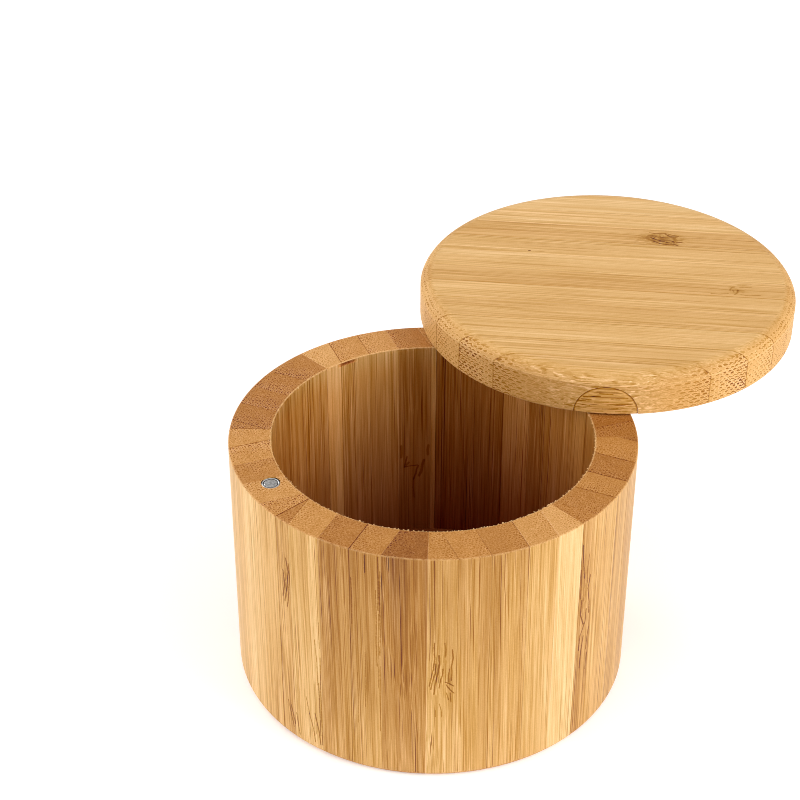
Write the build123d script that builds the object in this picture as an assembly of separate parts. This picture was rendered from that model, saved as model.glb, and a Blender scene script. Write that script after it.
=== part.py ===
from build123d import *
import os
from math import acos, cos, degrees, hypot, radians, sin

# Round bamboo salt box with a flat lid that swivels sideways on one hidden screw.
# Millimetres. Origin: centre of the base on the body's axis, +Z up.
# The lid is shown swung open, as it is at rest.

# ---------------------------------------------------------------- driving dimensions
BODY_D = 88.9            # outer diameter of the turned body
BORE_D = 70.3            # diameter of the inside
BODY_H = 59.2            # height of the body, base to rim
BASE_ROUND = 1.5         # rounding of the outer edge at the base
RIM_ROUND = 0.3          # rounding of the outer edge at the rim
BORE_ROUND = 0.25        # broken edge at the bore's mouth

RABBET_D = 78.0          # rebate in the underside that takes the bottom disc
BOTTOM_T = 6.3           # thickness of the bottom disc
GLUE = 0.05              # glue line round the bottom disc and the pivot plug

LID_D = 88.6             # diameter of the lid
LID_T = 10.0             # thickness of the lid
LID_ROUND = 3.7          # radius of the rounding over the lid's upper edge
LID_ROUND_IN = 3.5       # how far in from the side it reaches; it meets the side in a crease
LID_UNDER_ROUND = 0.4    # broken lower edge of the lid
LID_GAP = 0.3            # air gap between rim and lid

PIVOT_R = 40.0           # pivot's distance from the body's axis
PIVOT_ANG = 17.1         # pivot's bearing on the rim
OPEN_ANG = 110.9         # how far the lid is swung open from closed, clockwise from above

PLUG_R = 7.15            # half-round plug in the lid's edge, flat side down
PLUG_L = 12.0            # its length inwards from the edge
PLUG_FLOOR = 3.0         # plug left under the screw's head
COUNTERBORE_D = 7.6      # recess for the screw's head

SCREW_D = 3.5            # smooth shank
SCREW_MAJOR_D = 3.4      # over the thread
SCREW_CORE_D = 2.5       # thread's root
PILOT_D = 2.6            # pilot hole in the wall; the thread bites into the bamboo round it
SCREW_L = 25.0           # under the head
SCREW_HEAD_D = 7.0
SCREW_HEAD_H = 2.2
SCREW_PITCH = 1.4
SCREW_RUN = 0.06         # radial running clearance in the plug's bore
HEAD_CLEAR = 0.08        # under the screw's head

MAGNET_D = 4.0
MAGNET_H = 3.0
MAGNET_RECESS = 0.25     # how deep each magnet sits below its surface
MAGNET_R = 38.9          # magnet's distance from the body's axis
MAGNET_ANG = -150.4      # its bearing on the rim

# The wall is coopered from eight mitred staves of 45 degrees. Each stave is glued up from
# parallel bamboo strips; the numbers are where the glue lines lie, measured across the
# stave from its middle, counted the way the angle grows.
MITRE_0 = -136.0
STAVES = [
    [-13.5, -5.9, 1.3, 8.0],
    [-11.1, -4.4, 3.65, 10.6],
    [-12.9, -5.8, 0.6, 7.7, 15.4],
    [-10.6, -3.4, 3.9, 11.1],
    [-9.7, -2.75, 4.9, 12.2],
    [-12.4, -5.0, 2.15, 9.5],
    [-7.2, -0.1, 7.0, 13.9],
    [-9.75, -3.2, 3.85, 11.6],
]

# The lid is edge-glued from parallel strips; glue lines measured across the grain from
# the lid's centre. The grain's bearing is given for the lid as it lies swung open.
LID_GRAIN = -5.75
LID_CUTS = [-37.2, -30.3, -22.2, -14.2, -6.4, 1.0, 8.9, 16.6, 24.5, 32.0, 39.4]

# ---------------------------------------------------------------- derived
RO, RI = BODY_D / 2, BORE_D / 2
RL = LID_D / 2
LID_Z = BODY_H + LID_GAP
PIVOT = (PIVOT_R * cos(radians(PIVOT_ANG)), PIVOT_R * sin(radians(PIVOT_ANG)))
MAG = (MAGNET_R * cos(radians(MAGNET_ANG)), MAGNET_R * sin(radians(MAGNET_ANG)))
OUT = "parts"
os.makedirs(OUT, exist_ok=True)
made = []


def save(solid, name):
    solids = solid.solids()
    assert len(solids) == 1, (name, len(solids))
    s = solids[0]
    s.label = name
    export_step(s, os.path.join(OUT, name + ".step"))
    made.append((name, s))
    return s


def clip(poly, nx, ny, d):
    """Keep the part of a convex polygon where nx*x + ny*y >= d."""
    out = []
    for i in range(len(poly)):
        (x0, y0), (x1, y1) = poly[i], poly[(i + 1) % len(poly)]
        a, b = nx * x0 + ny * y0 - d, nx * x1 + ny * y1 - d
        if a >= 0:
            out.append((x0, y0))
        if (a > 0 > b) or (a < 0 < b):
            t = a / (a - b)
            out.append((x0 + t * (x1 - x0), y0 + t * (y1 - y0)))
    clean = []
    for p in out:
        if not clean or hypot(p[0] - clean[-1][0], p[1] - clean[-1][1]) > 1e-7:
            clean.append(p)
    if len(clean) > 1 and hypot(clean[0][0] - clean[-1][0], clean[0][1] - clean[-1][1]) < 1e-7:
        clean.pop()
    return clean


def prism(poly, z0, z1):
    face = make_face(Polyline(*[(x, y, z0) for x, y in poly], close=True))
    return extrude(face, amount=z1 - z0, dir=(0, 0, 1))


def turned(points):
    """Revolve a closed profile given as (radius, z) points or ready edges."""
    with BuildSketch(Plane.XZ) as sk:
        with BuildLine():
            for e in points:
                if e[0] == "line":
                    Line(e[1], e[2])
                else:
                    ThreePointArc(e[1], e[2], e[3])
        make_face()
    return revolve(sk.sketch, axis=Axis.Z)


def fillet_arc(cx, cz, r, a0, a1):
    p = [(cx + r * cos(radians(a)), cz + r * sin(radians(a))) for a in (a0, (a0 + a1) / 2, a1)]
    return ("arc", p[0], p[1], p[2])


# ---------------------------------------------------------------- body blank
rr = RABBET_D / 2
body_blank = turned([
    ("line", (rr, 0), (RO - BASE_ROUND, 0)),
    fillet_arc(RO - BASE_ROUND, BASE_ROUND, BASE_ROUND, -90, 0),
    ("line", (RO, BASE_ROUND), (RO, BODY_H - RIM_ROUND)),
    fillet_arc(RO - RIM_ROUND, BODY_H - RIM_ROUND, RIM_ROUND, 0, 90),
    ("line", (RO - RIM_ROUND, BODY_H), (RI + BORE_ROUND, BODY_H)),
    fillet_arc(RI + BORE_ROUND, BODY_H - BORE_ROUND, BORE_ROUND, 90, 180),
    ("line", (RI, BODY_H - BORE_ROUND), (RI, BOTTOM_T)),
    ("line", (RI, BOTTOM_T), (rr, BOTTOM_T)),
    ("line", (rr, BOTTOM_T), (rr, 0)),
])

screw_under = LID_Z + PLUG_FLOOR + HEAD_CLEAR
screw_tip = screw_under - SCREW_L
# blind holes in the rim: one for the magnet, one pilot hole for the pivot screw
magnet_hole = Pos(MAG[0], MAG[1], BODY_H - MAGNET_H - MAGNET_RECESS) * Cylinder(
    MAGNET_D / 2 + 0.03, MAGNET_H + MAGNET_RECESS + 5, align=(Align.CENTER, Align.CENTER, Align.MIN))
pilot_hole = Pos(PIVOT[0], PIVOT[1], screw_tip - 0.5) * Cylinder(
    PILOT_D / 2, BODY_H - screw_tip + 5.5, align=(Align.CENTER, Align.CENTER, Align.MIN))
shank_hole = Pos(PIVOT[0], PIVOT[1], BODY_H - 2.2) * Cylinder(
    SCREW_D / 2 + 0.02, 12, align=(Align.CENTER, Align.CENTER, Align.MIN))

# ---------------------------------------------------------------- wall strips
for i, cuts in enumerate(STAVES):
    m0 = MITRE_0 + 45 * i
    m1 = m0 + 45
    mid = radians((m0 + m1) / 2)
    nx, ny = -sin(mid), cos(mid)          # across the stave, the way the angle grows
    big = 70.0
    wedge = [(0.0, 0.0), (big * cos(radians(m0)), big * sin(radians(m0))),
             (big * cos(radians(m1)), big * sin(radians(m1)))]
    edges = [-1e3] + cuts + [1e3]
    for k in range(len(edges) - 1):
        poly = clip(clip(wedge, nx, ny, edges[k]), -nx, -ny, -edges[k + 1])
        strip = body_blank & prism(poly, -1, BODY_H + 1)
        solids = [s for s in strip.solids() if s.volume > 1]
        assert len(solids) == 1, (i, k, [s.volume for s in strip.solids()])
        piece = solids[0]
        box = piece.bounding_box()
        for c, hole in ((MAG, magnet_hole), (PIVOT, pilot_hole), (PIVOT, shank_hole)):
            if (box.min.X - 3 < c[0] < box.max.X + 3) and (box.min.Y - 3 < c[1] < box.max.Y + 3):
                cut = piece - hole
                sols = [s for s in cut.solids() if s.volume > 1]
                assert len(sols) == 1, ("hole", i, k)
                piece = sols[0]
        save(piece, f"stave_{i + 1}_strip_{k + 1}")

# ---------------------------------------------------------------- bottom disc
save(Cylinder(rr - GLUE, BOTTOM_T, align=(Align.CENTER, Align.CENTER, Align.MIN)), "bottom_disc")

# ---------------------------------------------------------------- body magnet
def magnet(x, y, z0):
    m = Cylinder(MAGNET_D / 2, MAGNET_H, align=(Align.CENTER, Align.CENTER, Align.MIN))
    m = chamfer(m.edges().filter_by(GeomType.CIRCLE), 0.3)
    return Pos(x, y, z0) * m


save(magnet(MAG[0], MAG[1], BODY_H - MAGNET_RECESS - MAGNET_H), "body_magnet")

# ---------------------------------------------------------------- pivot screw, fixed in the wall
pts = []
rM, rC, rS, rH = SCREW_MAJOR_D / 2, SCREW_CORE_D / 2, SCREW_D / 2, SCREW_HEAD_D / 2
z_thread = BODY_H - 2.0                   # thread starts here and runs down to the tip
prof = [(0, screw_tip), (0.35, screw_tip + 0.2)]
z = screw_tip + 2.2
prof.append((rC, z))
while z + SCREW_PITCH < z_thread - 0.4:
    prof += [(rM, z + 0.45 * SCREW_PITCH), (rM, z + 0.55 * SCREW_PITCH), (rC, z + SCREW_PITCH)]
    z += SCREW_PITCH
prof += [(rC, z_thread - 0.2), (rS, z_thread), (rS, screw_under), (rH, screw_under),
         (rH, screw_under + 0.7), (rH * 0.86, screw_under + 1.5), (rH * 0.55, screw_under + SCREW_HEAD_H),
         (0, screw_under + SCREW_HEAD_H)]
with BuildSketch(Plane.XZ) as sk:
    with BuildLine():
        Polyline(*prof, close=True)
    make_face()
screw = revolve(sk.sketch, axis=Axis.Z)
recess = Pos(0, 0, screw_under + SCREW_HEAD_H - 1.2) * (
    Box(3.6, 0.8, 3, align=(Align.CENTER, Align.CENTER, Align.MIN))
    + Box(0.8, 3.6, 3, align=(Align.CENTER, Align.CENTER, Align.MIN)))
screw = screw - recess
save(Pos(PIVOT[0], PIVOT[1], 0) * screw, "pivot_screw")

# ---------------------------------------------------------------- lid, modelled closed, then swung open
swing = Pos(PIVOT[0], PIVOT[1], 0) * Rot(0, 0, -OPEN_ANG) * Pos(-PIVOT[0], -PIVOT[1], 0)

crease_ang = degrees(acos(LID_ROUND_IN / LID_ROUND))
crease_z = LID_Z + LID_T - LID_ROUND + LID_ROUND * sin(radians(crease_ang))
lid_blank = turned([
    ("line", (0, LID_Z), (RL - LID_UNDER_ROUND, LID_Z)),
    fillet_arc(RL - LID_UNDER_ROUND, LID_Z + LID_UNDER_ROUND, LID_UNDER_ROUND, -90, 0),
    ("line", (RL, LID_Z + LID_UNDER_ROUND), (RL, crease_z)),
    fillet_arc(RL - LID_ROUND_IN, LID_Z + LID_T - LID_ROUND, LID_ROUND, crease_ang, 90),
    ("line", (RL - LID_ROUND_IN, LID_Z + LID_T), (0, LID_Z + LID_T)),
    ("line", (0, LID_Z + LID_T), (0, LID_Z)),
])

# the half-round plug lies along the pivot's bearing, its flat side in the lid's underside
def bar(radius, length, extra=0.0):
    """Round bar on the plug's axis, from its inner end out past the lid's edge."""
    c = Cylinder(radius, length + extra, align=(Align.CENTER, Align.CENTER, Align.MIN))
    return Rot(0, 0, PIVOT_ANG) * Pos(RL - PLUG_L, 0, LID_Z) * Rot(0, 90, 0) * c


groove = bar(PLUG_R, PLUG_L, 10)
plug = lid_blank & bar(PLUG_R - GLUE, PLUG_L, 10)
plug = plug - (Pos(PIVOT[0], PIVOT[1], LID_Z - 1) * Cylinder(
    SCREW_D / 2 + SCREW_RUN, 20, align=(Align.CENTER, Align.CENTER, Align.MIN)))
plug = plug - (Pos(PIVOT[0], PIVOT[1], LID_Z + PLUG_FLOOR) * Cylinder(
    COUNTERBORE_D / 2, 20, align=(Align.CENTER, Align.CENTER, Align.MIN)))
save(swing * plug, "pivot_plug")

lid_magnet_hole = Pos(MAG[0], MAG[1], LID_Z - 5) * Cylinder(
    MAGNET_D / 2 + 0.03, MAGNET_H + MAGNET_RECESS + 5, align=(Align.CENTER, Align.CENTER, Align.MIN))
lid_solid = lid_blank - groove - lid_magnet_hole

g = radians(LID_GRAIN + OPEN_ANG)          # grain's bearing with the lid closed
nx, ny = -sin(g), cos(g)
square = [(-60, -60), (60, -60), (60, 60), (-60, 60)]
edges = [-1e3] + LID_CUTS + [1e3]
for k in range(len(edges) - 1):
    poly = clip(clip(square, nx, ny, edges[k]), -nx, -ny, -edges[k + 1])
    strip = lid_solid & prism(poly, LID_Z - 1, LID_Z + LID_T + 1)
    solids = [s for s in strip.solids() if s.volume > 1]
    assert len(solids) == 1, ("lid", k, [s.volume for s in strip.solids()])
    save(swing * solids[0], f"lid_strip_{k + 1}")

save(swing * magnet(MAG[0], MAG[1], LID_Z + MAGNET_RECESS), "lid_magnet")

lid_c = (swing * Pos(0, 0, 0)).position
print("nodes", len(made), "lid centre", round(lid_c.X, 3), round(lid_c.Y, 3), "pivot", PIVOT, "magnet", MAG)
print("volume body %.0f lid %.0f mm3" % (
    sum(s.volume for n, s in made if not n.startswith(("lid", "pivot"))),
    sum(s.volume for n, s in made if n.startswith("lid") or n == "pivot_plug")))
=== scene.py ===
import bpy, bmesh
import numpy as np
from math import sin, cos, tan, radians, degrees, pi, sqrt, atan2, hypot
from mathutils import Matrix, Vector


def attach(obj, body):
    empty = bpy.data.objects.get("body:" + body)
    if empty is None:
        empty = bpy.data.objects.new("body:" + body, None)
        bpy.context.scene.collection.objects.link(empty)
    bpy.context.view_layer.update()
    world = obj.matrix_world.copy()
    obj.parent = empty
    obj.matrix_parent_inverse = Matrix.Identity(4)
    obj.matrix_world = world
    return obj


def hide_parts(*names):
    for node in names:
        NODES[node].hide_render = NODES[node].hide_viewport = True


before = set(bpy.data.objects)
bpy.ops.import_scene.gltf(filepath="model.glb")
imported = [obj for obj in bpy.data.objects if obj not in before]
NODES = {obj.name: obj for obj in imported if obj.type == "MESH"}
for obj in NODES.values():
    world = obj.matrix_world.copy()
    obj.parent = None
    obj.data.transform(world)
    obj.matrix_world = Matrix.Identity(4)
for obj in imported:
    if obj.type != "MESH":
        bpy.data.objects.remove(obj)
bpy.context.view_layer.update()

# ------------------------------------------------------------------ dimensions, mm, as in the CAD
RO, RI, H = 44.45, 35.15, 59.2
BASE_ROUND, RIM_ROUND, BORE_ROUND = 1.5, 0.3, 0.25
RAB, BOT = 39.0, 6.3
RL, LT, LRND, LIN, LUND, ZL = 44.285, 10.0, 3.7, 3.5, 0.4, 59.5
PIV = (40.0 * cos(radians(17.1)), 40.0 * sin(radians(17.1)))
OPEN = radians(110.9)
MAG = (38.9 * cos(radians(-150.4)), 38.9 * sin(radians(-150.4)))
MITRE0 = -136.0
S22 = sin(radians(22.5))
STAVES = [
    [-13.5, -5.9, 1.3, 8.0],
    [-11.1, -4.4, 3.65, 10.6],
    [-12.9, -5.8, 0.6, 7.7, 15.4],
    [-10.6, -3.4, 3.9, 11.1],
    [-9.7, -2.75, 4.9, 12.2],
    [-12.4, -5.0, 2.15, 9.5],
    [-7.2, -0.1, 7.0, 13.9],
    [-9.75, -3.2, 3.85, 11.6],
]
GRAIN = radians(-5.75)
LID_CUTS = [-37.2, -30.3, -22.2, -14.2, -6.4, 1.0, 8.9, 16.6, 24.5, 32.0, 39.4]


def swing(x, y, a=-OPEN):
    """A point of the closed lid, where it is with the lid swung open."""
    dx, dy = x - PIV[0], y - PIV[1]
    return PIV[0] + cos(a) * dx - sin(a) * dy, PIV[1] + sin(a) * dx + cos(a) * dy


LC = swing(0.0, 0.0)
LMAG = swing(*MAG)
PLUG_DIR = atan2(PIV[1] - LC[1], PIV[0] - LC[0])


# ------------------------------------------------------------------ seeded noise for the meshes
def hsh(ix, iy, seed):
    h = (ix.astype(np.int64) * 374761393 + iy.astype(np.int64) * 668265263 + int(seed) * 2147483647) & 0xFFFFFFFF
    h = ((h ^ (h >> 13)) * 1274126177) & 0xFFFFFFFF
    return ((h ^ (h >> 16)) & 0xFFFFFF) / float(0xFFFFFF)


def vnoise(x, y, seed=0):
    x, y = np.broadcast_arrays(np.asarray(x, float), np.asarray(y, float))
    ix, iy = np.floor(x), np.floor(y)
    fx, fy = x - ix, y - iy
    fx, fy = fx * fx * (3 - 2 * fx), fy * fy * (3 - 2 * fy)
    a, b = hsh(ix, iy, seed), hsh(ix + 1, iy, seed)
    c, d = hsh(ix, iy + 1, seed), hsh(ix + 1, iy + 1, seed)
    return (a + (b - a) * fx) * (1 - fy) + (c + (d - c) * fx) * fy


# ------------------------------------------------------------------ mesh helpers
def to_object(name, verts_mm, faces, body, material, node=None):
    me = bpy.data.meshes.new(name)
    me.from_pydata([tuple(v * 0.001 for v in p) for p in verts_mm], [], faces)
    me.validate()
    return finish_object(name, me, body, material, node)


def finish_object(name, me, body, material, node=None, sharp=38, merge=2e-8):
    bm = bmesh.new()
    bm.from_mesh(me)
    bmesh.ops.remove_doubles(bm, verts=bm.verts, dist=merge)
    bmesh.ops.dissolve_degenerate(bm, edges=bm.edges, dist=merge)
    bmesh.ops.recalc_face_normals(bm, faces=bm.faces)
    for f in bm.faces:
        f.smooth = True
    bm.to_mesh(me)
    bm.free()
    me.set_sharp_from_angle(angle=radians(sharp))
    o = bpy.data.objects.new(name, me)
    bpy.context.scene.collection.objects.link(o)
    o.data.materials.clear()
    o.data.materials.append(material)
    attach(o, body)
    if node:
        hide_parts(node)
    return o


def attr(o, name, values):
    me = o.data
    a = me.attributes.get(name) or me.attributes.new(name, "FLOAT_VECTOR", "POINT")
    a.data.foreach_set("vector", np.asarray(values, np.float32).ravel())


def coords_mm(o):
    n = len(o.data.vertices)
    co = np.zeros(n * 3)
    o.data.vertices.foreach_get("co", co)
    return co.reshape(-1, 3) * 1000.0


def cylinder_cutter(name, x, y, z0, z1, r, seg=96, direction=None):
    """A closed cylinder mesh in mm; upright, or along a level direction from a start point."""
    vs, fs = [], []
    for ring, h in enumerate((z0, z1)):
        for i in range(seg):
            a = 2 * pi * i / seg
            vs.append((x + r * cos(a), y + r * sin(a), h))
    fs = [(i, (i + 1) % seg, seg + (i + 1) % seg, seg + i) for i in range(seg)]
    fs += [tuple(reversed(range(seg))), tuple(range(seg, 2 * seg))]
    if direction is not None:
        (px, py, pz), ang = direction
        out = []
        for (vx, vy, vz) in vs:
            ux, uy, uz = vz, vy, vx           # along, across, up
            out.append((px + ux * cos(ang) - uy * sin(ang), py + ux * sin(ang) + uy * cos(ang), pz + uz))
        vs = out
    me = bpy.data.meshes.new(name)
    me.from_pydata([tuple(c * 0.001 for c in v) for v in vs], [], fs)
    bm = bmesh.new(); bm.from_mesh(me)
    bmesh.ops.recalc_face_normals(bm, faces=bm.faces)
    bm.to_mesh(me); bm.free()
    o = bpy.data.objects.new(name, me)
    bpy.context.scene.collection.objects.link(o)
    return o


def boolean(me, cutter, op="DIFFERENCE"):
    """me cut by the cutter object, as a new mesh."""
    tmp = bpy.data.objects.new("tmp_bool", me)
    bpy.context.scene.collection.objects.link(tmp)
    m = tmp.modifiers.new("b", "BOOLEAN")
    m.operation, m.solver, m.object = op, "EXACT", cutter
    bpy.context.view_layer.update()
    dg = bpy.context.evaluated_depsgraph_get()
    out = bpy.data.meshes.new_from_object(tmp.evaluated_get(dg))
    bpy.data.objects.remove(tmp)
    return out


def drop(*objs):
    for o in objs:
        me = o.data
        bpy.data.objects.remove(o)
        bpy.data.meshes.remove(me)


# ------------------------------------------------------------------ materials
def lin(r, g, b):
    def f(c):
        c /= 255.0
        return c / 12.92 if c <= 0.04045 else ((c + 0.055) / 1.055) ** 2.4
    return (f(r), f(g), f(b), 1.0)


class Net:
    """Short-hand for building node trees."""

    def __init__(self, tree):
        self.t = tree

    def node(self, kind, **props):
        n = self.t.nodes.new(kind)
        for k, v in props.items():
            setattr(n, k, v)
        return n

    def put(self, sock, v):
        if isinstance(v, bpy.types.NodeSocket):
            self.t.links.new(v, sock)
        elif v is not None:
            sock.default_value = v

    def m(self, op, a, b=None, c=None, clamp=False):
        n = self.node("ShaderNodeMath", operation=op, use_clamp=clamp)
        for s, v in zip(n.inputs, (a, b, c)):
            self.put(s, v)
        return n.outputs[0]

    def vm(self, op, a, b=None, scale=None):
        n = self.node("ShaderNodeVectorMath", operation=op)
        self.put(n.inputs[0], a)
        if b is not None:
            self.put(n.inputs[1], b)
        if scale is not None:
            self.put(n.inputs["Scale"], scale)
        return n.outputs["Value"] if op in ("LENGTH", "DOT_PRODUCT", "DISTANCE") else n.outputs[0]

    def sep(self, v):
        n = self.node("ShaderNodeSeparateXYZ")
        self.put(n.inputs[0], v)
        return n.outputs[0], n.outputs[1], n.outputs[2]

    def comb(self, x, y, z):
        n = self.node("ShaderNodeCombineXYZ")
        for s, v in zip(n.inputs, (x, y, z)):
            self.put(s, v)
        return n.outputs[0]

    def attr(self, name):
        n = self.node("ShaderNodeAttribute", attribute_name=name, attribute_type="GEOMETRY")
        return n.outputs["Vector"]

    def noise(self, v, scale=1.0, detail=2.0, rough=0.5, dim="3D", distortion=0.0):
        n = self.node("ShaderNodeTexNoise", noise_dimensions=dim)
        self.put(n.inputs["Vector"], v)
        n.inputs["Scale"].default_value = scale
        n.inputs["Detail"].default_value = detail
        n.inputs["Roughness"].default_value = rough
        n.inputs["Distortion"].default_value = distortion
        return n.outputs[0], n.outputs["Color"]

    def voronoi(self, v, scale=1.0, rand=1.0, dim="2D", feature="F1"):
        n = self.node("ShaderNodeTexVoronoi", voronoi_dimensions=dim, feature=feature)
        self.put(n.inputs["Vector"], v)
        n.inputs["Scale"].default_value = scale
        n.inputs["Randomness"].default_value = rand
        return n.outputs["Distance"], n.outputs["Color"]

    def smooth(self, x, lo, hi, a=0.0, b=1.0):
        n = self.node("ShaderNodeMapRange", interpolation_type="SMOOTHSTEP")
        self.put(n.inputs["Value"], x)
        self.put(n.inputs["From Min"], lo)
        self.put(n.inputs["From Max"], hi)
        self.put(n.inputs["To Min"], a)
        self.put(n.inputs["To Max"], b)
        return n.outputs[0]

    def lerp(self, x, lo, hi, a, b):
        n = self.node("ShaderNodeMapRange", interpolation_type="LINEAR", clamp=True)
        self.put(n.inputs["Value"], x)
        self.put(n.inputs["From Min"], lo)
        self.put(n.inputs["From Max"], hi)
        self.put(n.inputs["To Min"], a)
        self.put(n.inputs["To Max"], b)
        return n.outputs[0]

    def mix(self, f, a, b, mode="MIX"):
        n = self.node("ShaderNodeMix", data_type="RGBA", blend_type=mode, clamp_factor=True)
        self.put(n.inputs[0], f)
        self.put(n.inputs[6], a)
        self.put(n.inputs[7], b)
        return n.outputs[2]

    def fmix(self, f, a, b):
        n = self.node("ShaderNodeMix", data_type="FLOAT", clamp_factor=True)
        self.put(n.inputs[0], f)
        self.put(n.inputs[2], a)
        self.put(n.inputs[3], b)
        return n.outputs[0]

    def ramp(self, f, stops, interp="LINEAR"):
        n = self.node("ShaderNodeValToRGB")
        n.color_ramp.interpolation = interp
        els = n.color_ramp.elements
        while len(els) > 1:
            els.remove(els[-1])
        els[0].position, els[0].color = stops[0]
        for pos, col in stops[1:]:
            e = els.new(pos)
            e.color = col
        self.put(n.inputs[0], f)
        return n.outputs[0]


def segment_group():
    """Squared distance from P to the stroke A-B, a little shorter along the fibre than across it."""
    ng = bpy.data.node_groups.new("stroke_segment", "ShaderNodeTree")
    for nm in ("P", "A", "B"):
        ng.interface.new_socket(name=nm, in_out="INPUT", socket_type="NodeSocketVector")
    ng.interface.new_socket(name="D2", in_out="OUTPUT", socket_type="NodeSocketFloat")
    g = Net(ng)
    gi, go = g.node("NodeGroupInput"), g.node("NodeGroupOutput")
    pa = g.vm("SUBTRACT", gi.outputs["P"], gi.outputs["A"])
    ba = g.vm("SUBTRACT", gi.outputs["B"], gi.outputs["A"])
    f = g.m("DIVIDE", g.vm("DOT_PRODUCT", pa, ba), g.vm("DOT_PRODUCT", ba, ba), clamp=True)
    d = g.vm("MULTIPLY", g.vm("SUBTRACT", pa, g.vm("SCALE", ba, scale=f)), (0.85, 1.0, 0.0))
    ng.links.new(g.vm("DOT_PRODUCT", d, d), go.inputs[0])
    return ng


SEGMENT = segment_group()


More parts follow.
